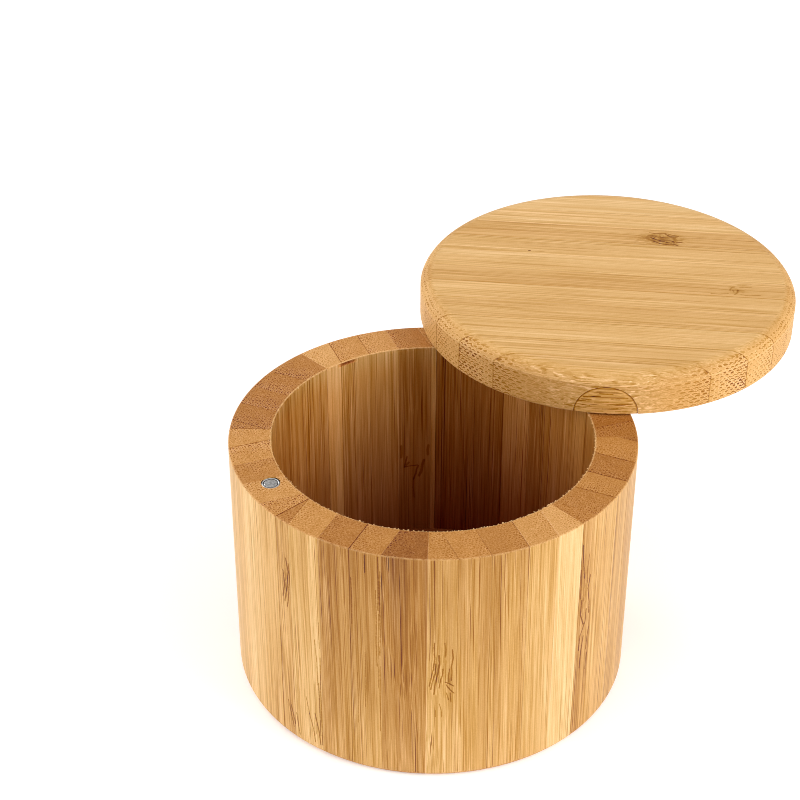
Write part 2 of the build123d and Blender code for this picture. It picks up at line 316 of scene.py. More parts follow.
def bamboo(name, base_stops, end_mul, dot=0.62, dot_r=0.165, rand=0.5, finish=0.42, end_lo=0.15, end_hi=0.6, squash=1.25,
           strokes=(), wander=0.6, stroke_gain=1.0, stroke_inside=False, contrast=1.0, gritty=1.0, joint=1.0, flecks=0.0, dot_dark=0.29,
           far=0.35, line_dark=0.37, fibre=0.24, oblique=1.0):
    """Laminated bamboo. The fibre bundles run through the piece as in the real wood: dots where the surface cuts across
    the grain, lines and dashes where it runs along it. Reads the coordinates that each strip's mesh carries."""
    mat = bpy.data.materials.new(name)
    mat.use_nodes = True
    t = mat.node_tree
    t.nodes.clear()
    g = Net(t)
    P = g.attr("grain")            # across the strip, through it, along the fibre; mm
    T = g.attr("tone")             # light 0..1, red 0..1, bundle density 0..1
    E = g.attr("edge")             # distance to the glue faces A and B in mm, worn edge with painted edge highlight 0..1
    L = g.attr("line")             # glue line A, glue line B (-1 dark .. 1 pale), painted shade growing with depth inside 0..1
    K = g.attr("knot")             # along and across from the knuckle, in its own half sizes, strength
    M = g.attr("place")            # height and place across the strip, distance from its skin side; mm
    F = g.attr("figure")           # short dashes 0..1, streaks 0..1, fibres swept sideways by the knuckle in mm
    X = g.attr("axis")             # fibre direction in object space
    p, q, s = g.sep(P)
    light, red, dens = g.sep(T)
    dA, dB, wear_and_highlight = g.sep(E)
    lA, lB, depth_shade = g.sep(L)
    ks, kp, kstr = g.sep(K)
    dash, streak, sweep = g.sep(F)
    _mx, _my, skin = g.sep(M)

    def sub(a, b):
        return g.m("SUBTRACT", a, b)

    def mul(a, b):
        return g.m("MULTIPLY", a, b)

    def add(a, b):
        return g.m("ADD", a, b)

    def aniso(fp, fs, detail=2.0, rough=0.5, src=None, shift=0.0):
        pp, qq = src or (p, q)
        return g.noise(g.comb(add(mul(pp, fp), shift), mul(qq, fp), mul(s, fs)), 1.0, detail, rough)

    tc = g.node("ShaderNodeTexCoord")
    endn = g.m("ABSOLUTE", g.vm("DOT_PRODUCT", tc.outputs["Normal"], X))
    end = g.smooth(endn, end_lo, end_hi)

    outside = sub(1.0, g.smooth(depth_shade, 0.0, 0.01))
    # knuckle: fibres bend round it
    kn = mul(g.m("EXPONENT", mul(add(mul(ks, ks), mul(kp, kp)), -1.0)), kstr)

    # the fibres wander slowly along their length
    _, w1 = aniso(0.085, 0.013, 1.0)
    _, w2 = aniso(0.45, 0.055, 1.0)
    _, w3 = aniso(0.55, 0.40, 2.0)
    w1x, w1y, _z = g.sep(g.vm("SUBTRACT", w1, (0.5, 0.5, 0.5)))
    w2x, w2y, _z = g.sep(g.vm("SUBTRACT", w2, (0.5, 0.5, 0.5)))
    w3x, w3y, _z = g.sep(g.vm("SUBTRACT", w3, (0.5, 0.5, 0.5)))
    kamp = mul(kn, 1.5)
    pw = add(add(p, mul(kn, sweep)), add(mul(w1x, 0.42), add(mul(w2x, 0.05), mul(w3x, kamp))))
    qw = add(q, add(mul(mul(w1y, add(1.0, mul(dash, 4.5))), wander), add(mul(mul(w2y, add(0.14, mul(dash, 0.9))), wander), mul(w3y, kamp))))

    # bundles seen from the side: a strong set and a fine set of lines, each in its pale sheath
    def lines(cell, rad, soft, shift, power):
        d, c = g.voronoi(g.comb(add(g.m("DIVIDE", pw, cell), shift), g.m("DIVIDE", qw, cell), 0.0), 1.0, 1.0)
        cr, cg, cb = g.sep(c)
        r = mul(add(mul(cr, 0.5), 0.72), rad / cell)
        core = g.smooth(d, add(r, soft / cell), sub(r, soft / cell))
        sheath = sub(g.smooth(d, add(r, 0.15 / cell), add(r, 0.02 / cell)), core)
        amt = add(0.40, mul(g.m("POWER", cg, power), 0.60))
        return mul(core, amt), mul(sheath, amt)

    vis, _ = aniso(0.9, 0.028, 1.0, shift=11.0)
    vism = g.smooth(vis, 0.38, 0.56, 0.15, 1.0)
    vis2, _ = aniso(0.55, 0.020, 1.0, shift=29.0)
    vis2m = g.smooth(vis2, 0.36, 0.62, 0.30, 1.0)
    c1, h1 = lines(0.84, 0.095, 0.018, 0.0, 1.0)
    c2, h2 = lines(0.43, 0.070, 0.022, 37.3, 1.4)
    l1, l2 = mul(c1, vism), mul(c2, mul(vis2m, 0.88))
    side_lines = sub(1.0, mul(sub(1.0, l1), sub(1.0, l2)))
    side_sheath = g.m("MAXIMUM", mul(h1, vism), mul(h2, vis2m))
    # bundles cut across: staggered rows of dots, small and crowded at the culm's skin side, sparse and pale at the other
    sk = add(skin, mul(w1x, 0.4))
    u = g.m("MULTIPLY", sk, 1.0 / 7.0, clamp=True)
    pc = g.m("DIVIDE", sub(mul(sk, 1.25), mul(mul(sk, sk), 0.035)), dot * squash)
    qc = g.m("DIVIDE", qw, dot)
    rowshift = mul(g.m("FLOORED_MODULO", g.m("FLOOR", qc), 2.0), 0.5)
    de, ce = g.voronoi(g.comb(add(pc, rowshift), qc, 5.0), 1.0, rand)
    cer, ceg, ceb = g.sep(ce)
    re = mul(mul(add(mul(cer, 0.36), 0.82), dot_r / dot), g.lerp(u, 0.0, 1.0, 1.22, 0.80))
    patch, _ = g.noise(g.comb(mul(p, 0.35), mul(q, 0.35), mul(s, 0.05)), 1.0, 1.0)
    crowd = mul(mul(g.lerp(u, 0.0, 0.9, 1.0, far), g.lerp(patch, 0.35, 0.65, 0.72, 1.12)), g.m("SQRT", dens))
    if oblique < 1.0:
        crowd = mul(crowd, g.smooth(endn, 0.40, 0.68, oblique, 1.0))
    dcore = g.smooth(de, add(re, 0.040 / dot), sub(re, 0.040 / dot))
    dots = mul(mul(dcore, add(0.66, mul(ceg, 0.34))), crowd)
    ring = mul(sub(g.smooth(de, add(re, 0.17 / dot), add(re, 0.04 / dot)), dcore), crowd)
    long_ = sub(1.0, end)
    calm, _ = aniso(0.16, 0.030, 2.0, shift=211.0)            # here the fibres stand out, there the face is smooth
    calm = g.smooth(calm, 0.36, 0.62, 0.50, 1.18)
    sides = mul(mul(add(0.55, mul(streak, 0.45)), contrast), calm)
    bundle = g.fmix(end, mul(side_lines, sides), dots)
    sheath = g.fmix(end, mul(side_sheath, sides), ring)

    # bands, streaks, fine fibre, blotches
    band1, _ = aniso(0.42, 0.010, 1.0, src=(pw, qw))
    band2, _ = aniso(1.30, 0.016, 2.0, 0.6, src=(pw, qw))
    fine, _ = aniso(3.1, 0.042, 2.0, 0.68, src=(pw, qw))
    blot, _ = aniso(0.20, 0.045, 2.0)
    speck, _ = g.noise(g.vm("SCALE", P, scale=3.4), 1.0, 3.0, 0.7)
    sk1, _ = aniso(2.1, 0.022, 2.0, 0.6, src=(pw, qw), shift=71.0)
    sk2, _ = aniso(2.5, 0.026, 2.0, 0.6, src=(pw, qw), shift=123.0)
    darks = mul(g.smooth(sk1, 0.53, 0.61), streak)
    pales = mul(g.smooth(sk2, 0.53, 0.61), streak)
    grit, _ = g.noise(g.vm("SCALE", P, scale=2.3), 1.0, 2.0, 0.6)
    tone = add(light, add(mul(sub(band1, 0.5), add(0.12, mul(long_, 0.16))), add(
        mul(sub(band2, 0.5), add(0.04, mul(long_, 0.11))), mul(sub(blot, 0.5), add(0.06, mul(long_, 0.08))))))
    tone = g.m("ADD", tone, 0.0, clamp=True)
    # the fine figure is laid over the tone in even steps of lightness
    fig = mul(sub(fine, 0.5), add(0.10, mul(mul(long_, fibre), calm)))
    fig = add(fig, mul(sub(speck, 0.5), add(0.10, mul(end, 0.24 * gritty))))
    fig = add(fig, mul(sub(grit, 0.5), mul(end, 0.18 * gritty)))
    fig = add(fig, mul(mul(long_, contrast), sub(mul(pales, 0.048), mul(darks, 0.085))))
    fig = add(fig, mul(sheath, add(0.08, mul(end, 0.07))))
    if flecks:
        # where a turned edge runs along the grain, cut fibres show as short pale dashes
        _x, _y, nz = g.sep(tc.outputs["Normal"])
        side = mul(g.smooth(g.m("ABSOLUTE", nz), 0.93, 0.70), long_)
        fl, _ = g.noise(g.comb(mul(p, 1.0), mul(q, 1.9), mul(s, 0.42)), 1.0, 2.0, 0.6)
        fd, _ = g.noise(g.comb(add(mul(p, 1.0), 50.0), mul(q, 1.7), mul(s, 0.36)), 1.0, 2.0, 0.6)
        fig = add(fig, mul(side, sub(mul(g.smooth(fl, 0.56, 0.64), flecks * 0.6), mul(g.smooth(fd, 0.55, 0.65), flecks * 0.5))))
    # knuckle
    hair, _ = aniso(2.3, 0.60, 2.0, 0.65, src=(pw, qw), shift=5.0)
    kcore = mul(g.smooth(kn, 0.10, 0.75), g.smooth(hair, 0.44, 0.56, 0.25, 1.0))
    fig = sub(fig, mul(kcore, 0.21))
    # bundles
    fig = sub(fig, mul(bundle, g.fmix(end, line_dark, dot_dark)))
    # glue lines
    gl, _ = g.noise(g.comb(mul(q, 0.5), mul(s, 0.5), 7.0), 1.0, 1.0)
    width = mul(add(0.05, mul(gl, 0.10)), joint)
    nA = g.smooth(dA, add(width, 0.05 * joint), mul(width, 0.4))
    nB = g.smooth(dB, add(width, 0.05 * joint), mul(width, 0.4))
    dark = g.m("ADD", mul(nA, g.m("MAXIMUM", mul(lA, -1.0), 0.0)), mul(nB, g.m("MAXIMUM", mul(lB, -1.0), 0.0)), clamp=True)
    pale = g.m("ADD", mul(nA, g.m("MAXIMUM", lA, 0.0)), mul(nB, g.m("MAXIMUM", lB, 0.0)), clamp=True)
    fig = add(sub(fig, mul(dark, add(0.27, mul(end, 0.12)))), mul(pale, 0.11))
    col = g.ramp(tone, base_stops)
    col = g.mix(mul(red, 0.75), col, g.mix(1.0, col, (1.0, 0.86, 0.72, 1.0), "MULTIPLY"))
    # cut across the grain the wood drinks more light
    col = g.mix(end, col, g.mix(1.0, col, end_mul, "MULTIPLY"))
    # painted shade: the bowl darker and redder with depth, and its figure fainter there
    inn_shade = g.smooth(depth_shade, 0.0, 0.12)
    col = g.mix(inn_shade, col, g.mix(1.0, col, (0.98, 0.86, 0.66, 1.0), "MULTIPLY"))
    col = g.mix(depth_shade, col, g.mix(1.0, col, (0.42, 0.135, 0.10, 1.0), "MULTIPLY"))
    fig = mul(fig, sub(1.0, add(mul(inn_shade, 0.02), mul(depth_shade, 0.30))))
    # single dark fibres that show one by one, each drawn from point to point: height and place across the strip in mm
    if strokes:
        rag, _ = g.noise(g.vm("SCALE", P, scale=1.9), 1.0, 2.0, 0.6)
        rg = mul(sub(rag, 0.5), 0.22)
        for pts, w, amt in strokes:
            best = None
            for (x0, y0), (x1, y1) in zip(pts, pts[1:]):
                sg = g.node("ShaderNodeGroup")
                sg.node_tree = SEGMENT
                g.put(sg.inputs[0], M)
                sg.inputs[1].default_value = (x0, y0, 0.0)
                sg.inputs[2].default_value = (x1, y1, 0.0)
                d2 = sg.outputs[0]
                best = d2 if best is None else g.m("MINIMUM", best, d2)
            dist = add(g.m("SQRT", best), rg)
            sm = mul(g.smooth(dist, w + 0.06, w - 0.07), amt * stroke_gain * 0.5)
            fig = sub(fig, mul(sm, g.smooth(depth_shade, 0.02, 0.10) if stroke_inside else g.smooth(outside, 0.2, 0.8)))

    def gamma(c, e):
        n = g.node("ShaderNodeGamma")
        g.put(n.inputs[0], c)
        n.inputs[1].default_value = e
        return n.outputs[0]

    steps = g.vm("MAXIMUM", g.vm("ADD", gamma(col, 1 / 2.2), g.comb(mul(fig, 0.97), mul(fig, 1.06), mul(fig, 1.34))), (0.06, 0.020, 0.004))
    col = gamma(g.vm("MINIMUM", steps, (0.99, 0.98, 0.96)), 2.2)
    # pale edges: partly rubbed wear, partly painted highlight along the rim's edges and the lid's crease
    wn, _ = g.noise(g.vm("SCALE", P, scale=1.7), 1.0, 3.0, 0.65)
    wear_and_highlight_m = mul(wear_and_highlight, g.smooth(wn, 0.30, 0.60, 0.30, 1.0))
    col = g.mix(mul(wear_and_highlight_m, 0.75), col, lin(238, 194, 134))

    rough = g.m("ADD", finish, add(mul(end, 0.16), add(mul(bundle, 0.10), mul(sub(fine, 0.5), 0.22))), clamp=True)
    height = add(mul(bundle, -0.60), add(mul(fine, 0.55), mul(speck, 0.25)))
    bump = g.node("ShaderNodeBump")
    bump.inputs["Strength"].default_value = 0.22
    bump.inputs["Distance"].default_value = 0.00004
    g.put(bump.inputs["Height"], height)

    b = g.node("ShaderNodeBsdfPrincipled")
    g.put(b.inputs["Base Color"], col)
    g.put(b.inputs["Roughness"], rough)
    g.put(b.inputs["Normal"], bump.outputs[0])
    b.inputs["IOR"].default_value = 1.46
    b.inputs["Specular IOR Level"].default_value = 0.26
    b.inputs["Coat Weight"].default_value = 0.06
    b.inputs["Coat Roughness"].default_value = 0.32
    out = g.node("ShaderNodeOutputMaterial")
    t.links.new(b.outputs[0], out.inputs["Surface"])
    return mat


WALL_STOPS = [(0.0, lin(121, 69, 14)), (0.28, lin(167, 115, 46)), (0.55, lin(204, 157, 89)), (0.80, lin(229, 188, 128)), (1.0, lin(245, 217, 170))]
LID_STOPS = [(0.0, lin(147, 95, 32)), (0.30, lin(190, 139, 70)), (0.58, lin(216, 171, 108)), (0.85, lin(233, 196, 141)), (1.0, lin(247, 217, 168))]
SCARS = [([(31.6, 6.9), (29.9, 6.8), (28.4, 6.9)], 0.30, 0.45), ([(28.3, 5.5), (27.0, 5.8), (25.4, 6.1)], 0.20, 0.60), ([(25.4, 6.1), (25.6, 4.4), (25.7, 3.0)], 0.13, 0.65),
         ([(25.5, 2.8), (24.5, 3.2), (23.2, 3.4), (21.6, 3.9)], 0.20, 0.60), ([(27.1, 1.5), (25.6, 1.9), (23.8, 2.1), (22.6, 2.6)], 0.32, 0.50),
         ([(31.4, 0.5), (30.0, 0.7), (28.8, 0.6)], 0.30, 0.42), ([(21.6, 3.9), (19.2, 4.0), (16.0, 3.7)], 0.14, 0.35), ([(26.6, 5.1), (25.9, 5.6)], 0.26, 0.45)]
KNUCKLE_21 = [([(37.6, 1.5), (35.9, 1.4), (33.3, 1.6), (30.3, 1.3), (28.1, 0.9), (25.9, 0.6)], 0.13, 0.55),
              ([(34.2, 2.4), (32.0, 2.5), (29.8, 2.3), (28.1, 2.0), (26.3, 1.7), (23.7, 1.5)], 0.15, 0.62), ([(32.0, 1.8), (29.4, 1.7), (27.2, 1.2), (25.0, 0.9)], 0.13, 0.6),
              ([(30.6, 3.2), (28.9, 3.1), (27.2, 2.7), (25.4, 2.5)], 0.13, 0.6), ([(37.5, 3.5), (35.8, 3.7), (33.7, 3.6)], 0.11, 0.45),
              ([(35.7, 5.0), (33.5, 5.2), (31.4, 4.9), (29.2, 5.0), (27.4, 4.9)], 0.14, 0.6), ([(30.5, 4.5), (28.8, 4.3), (26.9, 4.4)], 0.12, 0.6),
              ([(27.0, 3.7), (26.6, 4.4), (25.8, 5.4)], 0.13, 0.7), ([(26.2, 3.9), (24.8, 4.7), (23.8, 5.5)], 0.12, 0.65), ([(23.9, 4.7), (22.8, 4.8), (21.4, 4.9)], 0.11, 0.6),
              ([(24.0, 4.0), (22.1, 4.4)], 0.10, 0.55), ([(19.2, 1.8), (17.4, 1.9)], 0.10, 0.4), ([(20.9, 2.6), (19.1, 3.0), (17.3, 3.1)], 0.10, 0.45)]
KNUCKLE_31 = [([(53.5, 0.3), (49.8, 0.6), (44.3, 1.2)], 0.13, 0.6), ([(44.0, 3.1), (40.8, 2.6), (36.9, 3.3), (33.8, 3.4)], 0.14, 0.6), ([(38.5, 0.9), (34.6, 0.8), (31.6, 1.8)], 0.15, 0.6),
              ([(35.3, 2.5), (31.9, 2.4), (28.8, 1.1), (24.8, 0.9)], 0.14, 0.6), ([(29.6, 3.7), (27.2, 3.4), (23.7, 3.2)], 0.12, 0.5), ([(28.1, 2.1), (23.9, 1.6), (19.4, 1.5)], 0.13, 0.5),
              ([(47.0, 0.2), (42.2, 0.4), (39.2, 0.4)], 0.12, 0.5), ([(22.5, 3.6), (18.1, 3.4)], 0.10, 0.45), ([(50.0, 2.4), (46.0, 2.0), (42.5, 2.2)], 0.11, 0.4)]
KNUCKLE_11 = [([(49.9, 2.5), (46.6, 3.1), (42.5, 2.6), (38.2, 1.8)], 0.14, 0.6), ([(46.3, 1.6), (42.8, 1.9), (39.3, 1.3)], 0.15, 0.6), ([(48.8, 3.2), (45.4, 3.4), (41.3, 3.1), (37.1, 2.5)], 0.12, 0.55),
              ([(9.3, 2.4), (5.8, 3.2), (4.5, 3.4)], 0.13, 0.6), ([(10.3, 1.6), (6.7, 2.3), (3.4, 3.0)], 0.11, 0.5)]
STREAK_12 = [([(10.0, 4.1), (6.4, 5.0), (2.5, 5.5)], 0.11, 0.55), ([(14.5, 3.3), (10.0, 4.1)], 0.10, 0.45), ([(10.9, 5.6), (6.4, 6.5), (2.4, 6.9)], 0.13, 0.6),
             ([(31.8, 6.1), (25.7, 6.5), (19.5, 6.6)], 0.10, 0.45), ([(8.0, 0.4), (4.0, 0.9), (2.2, 1.2)], 0.11, 0.5),
             ([(27.5, 7.4), (18.0, 7.3), (9.0, 7.35), (2.5, 7.4)], 0.10, 0.62), ([(20.0, 6.8), (12.0, 6.9), (5.0, 7.0)], 0.10, 0.58), ([(37.0, 7.2), (30.0, 7.3)], 0.09, 0.40)]
LINES_14 = [([(58.6, 6.1), (52.0, 6.15), (45.0, 6.05)], 0.11, 0.62), ([(55.0, 6.5), (47.0, 6.45), (40.0, 6.5), (33.0, 6.4)], 0.10, 0.60), ([(50.0, 5.6), (43.0, 5.7), (36.0, 5.6), (30.0, 5.8)], 0.10, 0.52),
            ([(44.0, 6.2), (38.0, 6.1), (31.0, 6.2), (24.0, 6.1)], 0.09, 0.50), ([(58.4, 3.3), (54.2, 3.35)], 0.13, 0.60), ([(52.0, 0.30), (46.0, 0.45), (40.0, 0.40)], 0.11, 0.55),
            ([(30.0, 6.5), (20.0, 6.5), (12.0, 6.4)], 0.09, 0.45), ([(33.0, 3.2), (26.0, 3.3), (18.0, 3.2)], 0.09, 0.42), ([(27.0, 1.5), (19.0, 1.6), (13.0, 1.5)], 0.08, 0.38)]
END_MUL = (0.83, 0.67, 0.51, 1.0)
WALL = dict(dot=0.64, dot_r=0.165, rand=0.50, squash=1.25)
M_WALL = bamboo("bamboo_wall", WALL_STOPS, END_MUL, **WALL)
MARKED = {
    (6, 2): bamboo("bamboo_wall_scarred", WALL_STOPS, END_MUL, strokes=SCARS, stroke_gain=0.50, stroke_inside=True, **WALL),
    (2, 1): bamboo("bamboo_wall_knuckle_a", WALL_STOPS, END_MUL, strokes=KNUCKLE_21, stroke_gain=0.72, **WALL),
    (3, 1): bamboo("bamboo_wall_knuckle_b", WALL_STOPS, END_MUL, strokes=KNUCKLE_31, stroke_gain=0.95, **WALL),
    (1, 1): bamboo("bamboo_wall_knuckle_c", WALL_STOPS, END_MUL, strokes=KNUCKLE_11, stroke_gain=0.85, **WALL),
    (1, 2): bamboo("bamboo_wall_streaked", WALL_STOPS, END_MUL, strokes=STREAK_12, stroke_gain=0.95, **WALL),
    (1, 4): bamboo("bamboo_wall_lined", WALL_STOPS, END_MUL, strokes=LINES_14, stroke_gain=0.64, **WALL),
}
LID = dict(dot=0.76, dot_r=0.228, rand=0.30, squash=1.32, finish=0.45, end_lo=0.12, end_hi=0.45, contrast=0.75, gritty=0.25, flecks=0.22, dot_dark=0.37, far=0.74,
           line_dark=0.24, fibre=0.16, wander=0.22, oblique=0.45)
KNOT_A = [([(9.8, 6.2), (11.3, 5.9), (13.5, 6.3), (15.4, 5.5), (16.7, 5.1)], 0.16, 0.6), ([(13.5, 6.0), (14.7, 4.8), (16.4, 4.7)], 0.15, 0.7), ([(10.1, 3.8), (11.6, 2.6), (13.3, 2.2)], 0.20, 0.6),
          ([(12.1, 2.1), (13.7, 2.7), (15.5, 2.5)], 0.16, 0.65), ([(10.6, 3.3), (11.3, 4.4)], 0.16, 0.5), ([(12.3, 0.9), (13.8, 0.6), (15.5, 0.6)], 0.18, 0.75), ([(15.2, 2.5), (15.9, 1.6), (17.6, 2.1)], 0.15, 0.6),
          ([(10.8, 1.9), (12.3, 0.9)], 0.16, 0.6), ([(15.5, 1.1), (16.5, 0.5)], 0.22, 0.85), ([(13.0, 4.0), (14.6, 3.6)], 0.16, 0.5), ([(9.4, 4.6), (11.0, 4.9), (12.4, 4.6)], 0.14, 0.45), ([(13.9, 1.6), (15.0, 1.5)], 0.18, 0.7)]
KNOT_B = [([(28.7, 2.9), (28.8, 3.6), (29.2, 4.4), (29.8, 4.7)], 0.17, 0.6), ([(30.5, 3.3), (30.4, 2.0), (29.8, 1.2)], 0.18, 0.7), ([(29.3, 3.2), (29.6, 2.2)], 0.16, 0.5),
          ([(30.4, 5.7), (31.8, 5.6), (33.7, 6.2)], 0.13, 0.9), ([(31.0, 4.5), (32.2, 4.6), (33.8, 5.1)], 0.13, 0.8), ([(24.3, 1.0), (26.3, 0.9), (28.2, 1.4)], 0.13, 0.9),
          ([(31.2, 1.2), (33.0, 1.0), (35.6, 1.4)], 0.14, 0.9)]
PIN = [([(-19.25, 1.24), (-18.95, 1.26)], 0.17, 0.95), ([(-17.6, 1.15), (-15.5, 1.2)], 0.06, 0.35)]
M_LID = bamboo("bamboo_lid", LID_STOPS, (0.97, 0.915, 0.815, 1.0), **LID)
LID_MARKED = {
    9: bamboo("bamboo_lid_knot_a", LID_STOPS, (0.97, 0.915, 0.815, 1.0), strokes=KNOT_A, stroke_gain=0.65, **LID),
    6: bamboo("bamboo_lid_knot_b", LID_STOPS, (0.97, 0.915, 0.815, 1.0), strokes=KNOT_B, stroke_gain=0.34, **LID),
    8: bamboo("bamboo_lid_pin", LID_STOPS, (0.97, 0.915, 0.815, 1.0), strokes=PIN, stroke_gain=0.95, **LID),
}


def metal(name, color, rough, scratch=0.12):
    mat = bpy.data.materials.new(name)
    mat.use_nodes = True
    t = mat.node_tree
    t.nodes.clear()
    g = Net(t)
    tc = g.node("ShaderNodeTexCoord")
    v = g.vm("SCALE", tc.outputs["Object"], scale=1000.0)
    n1, _ = g.noise(v, 2.2, 4.0, 0.7)
    n2, _ = g.noise(v, 11.0, 3.0, 0.6)
    x, y, z = g.sep(v)
    lines, _ = g.noise(g.comb(g.m("MULTIPLY", x, 14.0), g.m("MULTIPLY", y, 2.5), g.m("MULTIPLY", z, 14.0)), 1.0, 3.0, 0.6)
    c = g.mix(g.smooth(n1, 0.40, 0.62), color, tuple(x * 0.55 for x in color[:3]) + (1.0,))
    c = g.mix(g.m("MULTIPLY", g.smooth(n2, 0.55, 0.75), 0.5), c, (0.84, 0.84, 0.84, 1.0))
    sx, _sy, _sz = g.sep(g.attr("shade"))            # painted shade by place: the face a little darker, the groove round it much darker
    c = g.mix(sx, c, g.mix(1.0, c, (0.10, 0.10, 0.11, 1.0), "MULTIPLY"))
    r = g.m("ADD", rough, g.m("ADD", g.m("MULTIPLY", n1, 0.16), g.m("MULTIPLY", lines, scratch)), clamp=True)
    bump = g.node("ShaderNodeBump")
    bump.inputs["Strength"].default_value = 0.4
    bump.inputs["Distance"].default_value = 0.00003
    g.put(bump.inputs["Height"], g.m("ADD", g.m("MULTIPLY", n1, 0.6), g.m("MULTIPLY", lines, 0.4)))
    b = g.node("ShaderNodeBsdfPrincipled")
    g.put(b.inputs["Base Color"], c)
    b.inputs["Metallic"].default_value = 1.0
    g.put(b.inputs["Roughness"], r)
    g.put(b.inputs["Normal"], bump.outputs[0])
    out = g.node("ShaderNodeOutputMaterial")
    t.links.new(b.outputs[0], out.inputs["Surface"])
    return mat


M_NICKEL = metal("nickel_plate", (0.86, 0.85, 0.83, 1.0), 0.24)
M_STEEL = metal("screw_steel", (0.46, 0.44, 0.42, 1.0), 0.34)

# ------------------------------------------------------------------ the wall's strips
# light, red, bundle density, glue line on side A, on side B, short dashes, streaks
W = {
    (1, 1): (0.46, 0.20, 0.9, -0.7, -0.2, 0.3, 1.0), (1, 2): (0.62, 0.05, 0.7, 0.0, 0.1, 0.2, 0.9), (1, 3): (0.40, 0.22, 0.7, 0.1, -0.8, 0.2, 1),
    (1, 4): (0.42, 0.10, 0.7, -0.3, 0.35, 0.2, 0.9), (1, 5): (0.29, 0.24, 0.8, 0.2, 0.5, 0.8, 1),
    (2, 1): (0.53, 0.05, 0.6, 0.6, -0.15, 0.7, 0.8), (2, 2): (0.50, 0.15, 0.7, -0.1, -0.35, 0.5, 0.9), (2, 3): (0.49, 0.12, 0.7, 0, -0.6, 0.2, 0.9),
    (2, 4): (0.61, 0.00, 0.8, 0.3, 0.75, 0.0, 0.55), (2, 5): (0.74, 0.00, 0.8, 0.6, 0.1, 0.0, 0.40),
    (3, 1): (0.48, 0.30, 0.95, -0.2, 0.0, 0.2, 1.0), (3, 2): (0.54, 0.20, 0.9, 0.0, -0.5, 0.0, 0.9), (3, 3): (0.52, 0.15, 0.8, -0.3, -0.6, 0, 0.9),
    (3, 4): (0.50, 0.25, 0.8, -0.4, -0.9, 0.1, 0.9), (3, 5): (0.52, 0.25, 0.7, -0.5, -0.2, 0.0, 0.8), (3, 6): (0.35, 0.30, 0.8, 0.0, 0.0, 0.0, 0.8),
    (4, 1): (0.40, 0.35, 0.8, 0.0, -0.3, 0.1, 0.9), (4, 2): (0.38, 0.40, 0.8, -0.2, 0.0, 0.2, 0.9), (4, 3): (0.52, 0.30, 0.6, 0.0, 0.0, 0.1, 0.8),
    (4, 4): (0.50, 0.35, 0.6, -0.3, 0.1, 0.2, 0.8), (4, 5): (0.48, 0.30, 0.6, 0, 0, 0, 0.8),
    (5, 1): (0.46, 0.35, 0.7, 0, -0.2, 0.1, 0.9), (5, 2): (0.56, 0.30, 0.7, 0, 0, 0.2, 0.8), (5, 3): (0.29, 0.40, 0.7, -0.2, 0.0, 0.1, 0.9),
    (5, 4): (0.31, 0.45, 0.7, 0.3, 0.0, 0.2, 0.9), (5, 5): (0.30, 0.40, 0.7, -0.3, -0.4, 0.0, 0.9),
    (6, 1): (0.64, 0.08, 0.5, 0.5, 0.0, 0.1, 0.8), (6, 2): (0.36, 0.45, 0.7, 0.0, 0.3, 0.1, 0.8), (6, 3): (0.52, 0.22, 0.7, 0.2, -0.5, 0.1, 1.0),
    (6, 4): (0.52, 0.20, 0.75, -0.2, -0.6, 0.1, 1.0), (6, 5): (0.78, 0.00, 0.7, -0.3, 0.2, 0.0, 0.6),
    (7, 1): (0.46, 0.24, 1.0, 0.0, -0.3, 0.1, 1.0), (7, 2): (0.44, 0.30, 1.0, 0.0, 0.0, 0.1, 1.0), (7, 3): (0.42, 0.32, 1.0, 0.0, -0.2, 0.1, 1.0),
    (7, 4): (0.42, 0.28, 1.0, 0.0, -0.4, 0.1, 1.0), (7, 5): (0.44, 0.26, 1.0, 0.0, -0.4, 0.0, 1.0),
    (8, 1): (0.64, 0.10, 0.5, 0.1, -0.6, 0.2, 0.8), (8, 2): (0.62, 0.08, 0.95, 0.0, 0.0, 0.0, 0.8), (8, 3): (0.58, 0.12, 0.5, 0.0, 0.35, 0.1, 0.9),
    (8, 4): (0.66, 0.03, 0.6, 0.3, 0.0, 0.1, 0.8), (8, 5): (0.57, 0.10, 0.9, -0.4, -0.7, 0, 1),
}
# knuckles: stave, strip -> (height, across the strip from side A, half height, half width, strength, sideways sweep in mm)
KNOTS = {(1, 1): (43.5, 2.4, 6.0, 1.2, 0.45, 0.3), (2, 1): (29.5, 2.4, 6.0, 2.0, 0.30, 1.6), (3, 1): (40.0, 1.8, 12.0, 1.4, 0.35, 0.5),
         (1, 2): (7.0, 5.6, 6.0, 1.0, 0.35, 0.3)}
# how far the fibres lean sideways over the height, and how much painted shade darkens the bowl with depth, by stave
SLANT = {1: 0.018, 2: 0.014, 3: 0.008, 8: 0.008, 6: -0.008}
DEPTH_SHADE = {6: 0.78, 7: 0.84, 5: 1.0, 4: 0.95, (6, 5): 0.48}
# inside each strip, lighter or darker and redder: partly the strip's own tone, partly painted light and shade in the
# bowl
INNER_TONE_AND_LIGHT = {(6, 1): 0.02, (6, 3): 0.09, (6, 4): 0.08, (6, 5): 0.01, (7, 1): 0.04, (7, 2): 0.03, (7, 3): -0.07, (7, 4): -0.04}
INNER_RED_AND_SHADE = {(6, 5): 0.9, (6, 4): 0.15, (6, 3): 0.15}
# how much darker the strip grows towards the rim, and how its end grain differs
FADE = {(1, 3): 0.16, (1, 4): 0.26, (1, 5): 0.26, (2, 1): 0.27, (2, 2): 0.22, (2, 3): 0.14, (1, 2): 0.14, (2, 4): 0.08}
RIM_T = {(1, 3): 0.04, (1, 4): 0.07, (1, 5): -0.03, (2, 4): 0.06, (2, 5): 0.03, (8, 3): -0.08, (3, 4): -0.10, (3, 2): -0.08, (6, 2): 0.16, (6, 3): 0.17, (6, 4): 0.12, (2, 2): 0.05}
DOTTY = {1: 0.32, 2: 0.28, 3: 0.36, 4: 0.50, 5: 0.75, 6: 0.75}          # how plainly the bundles show on the rim, by stave


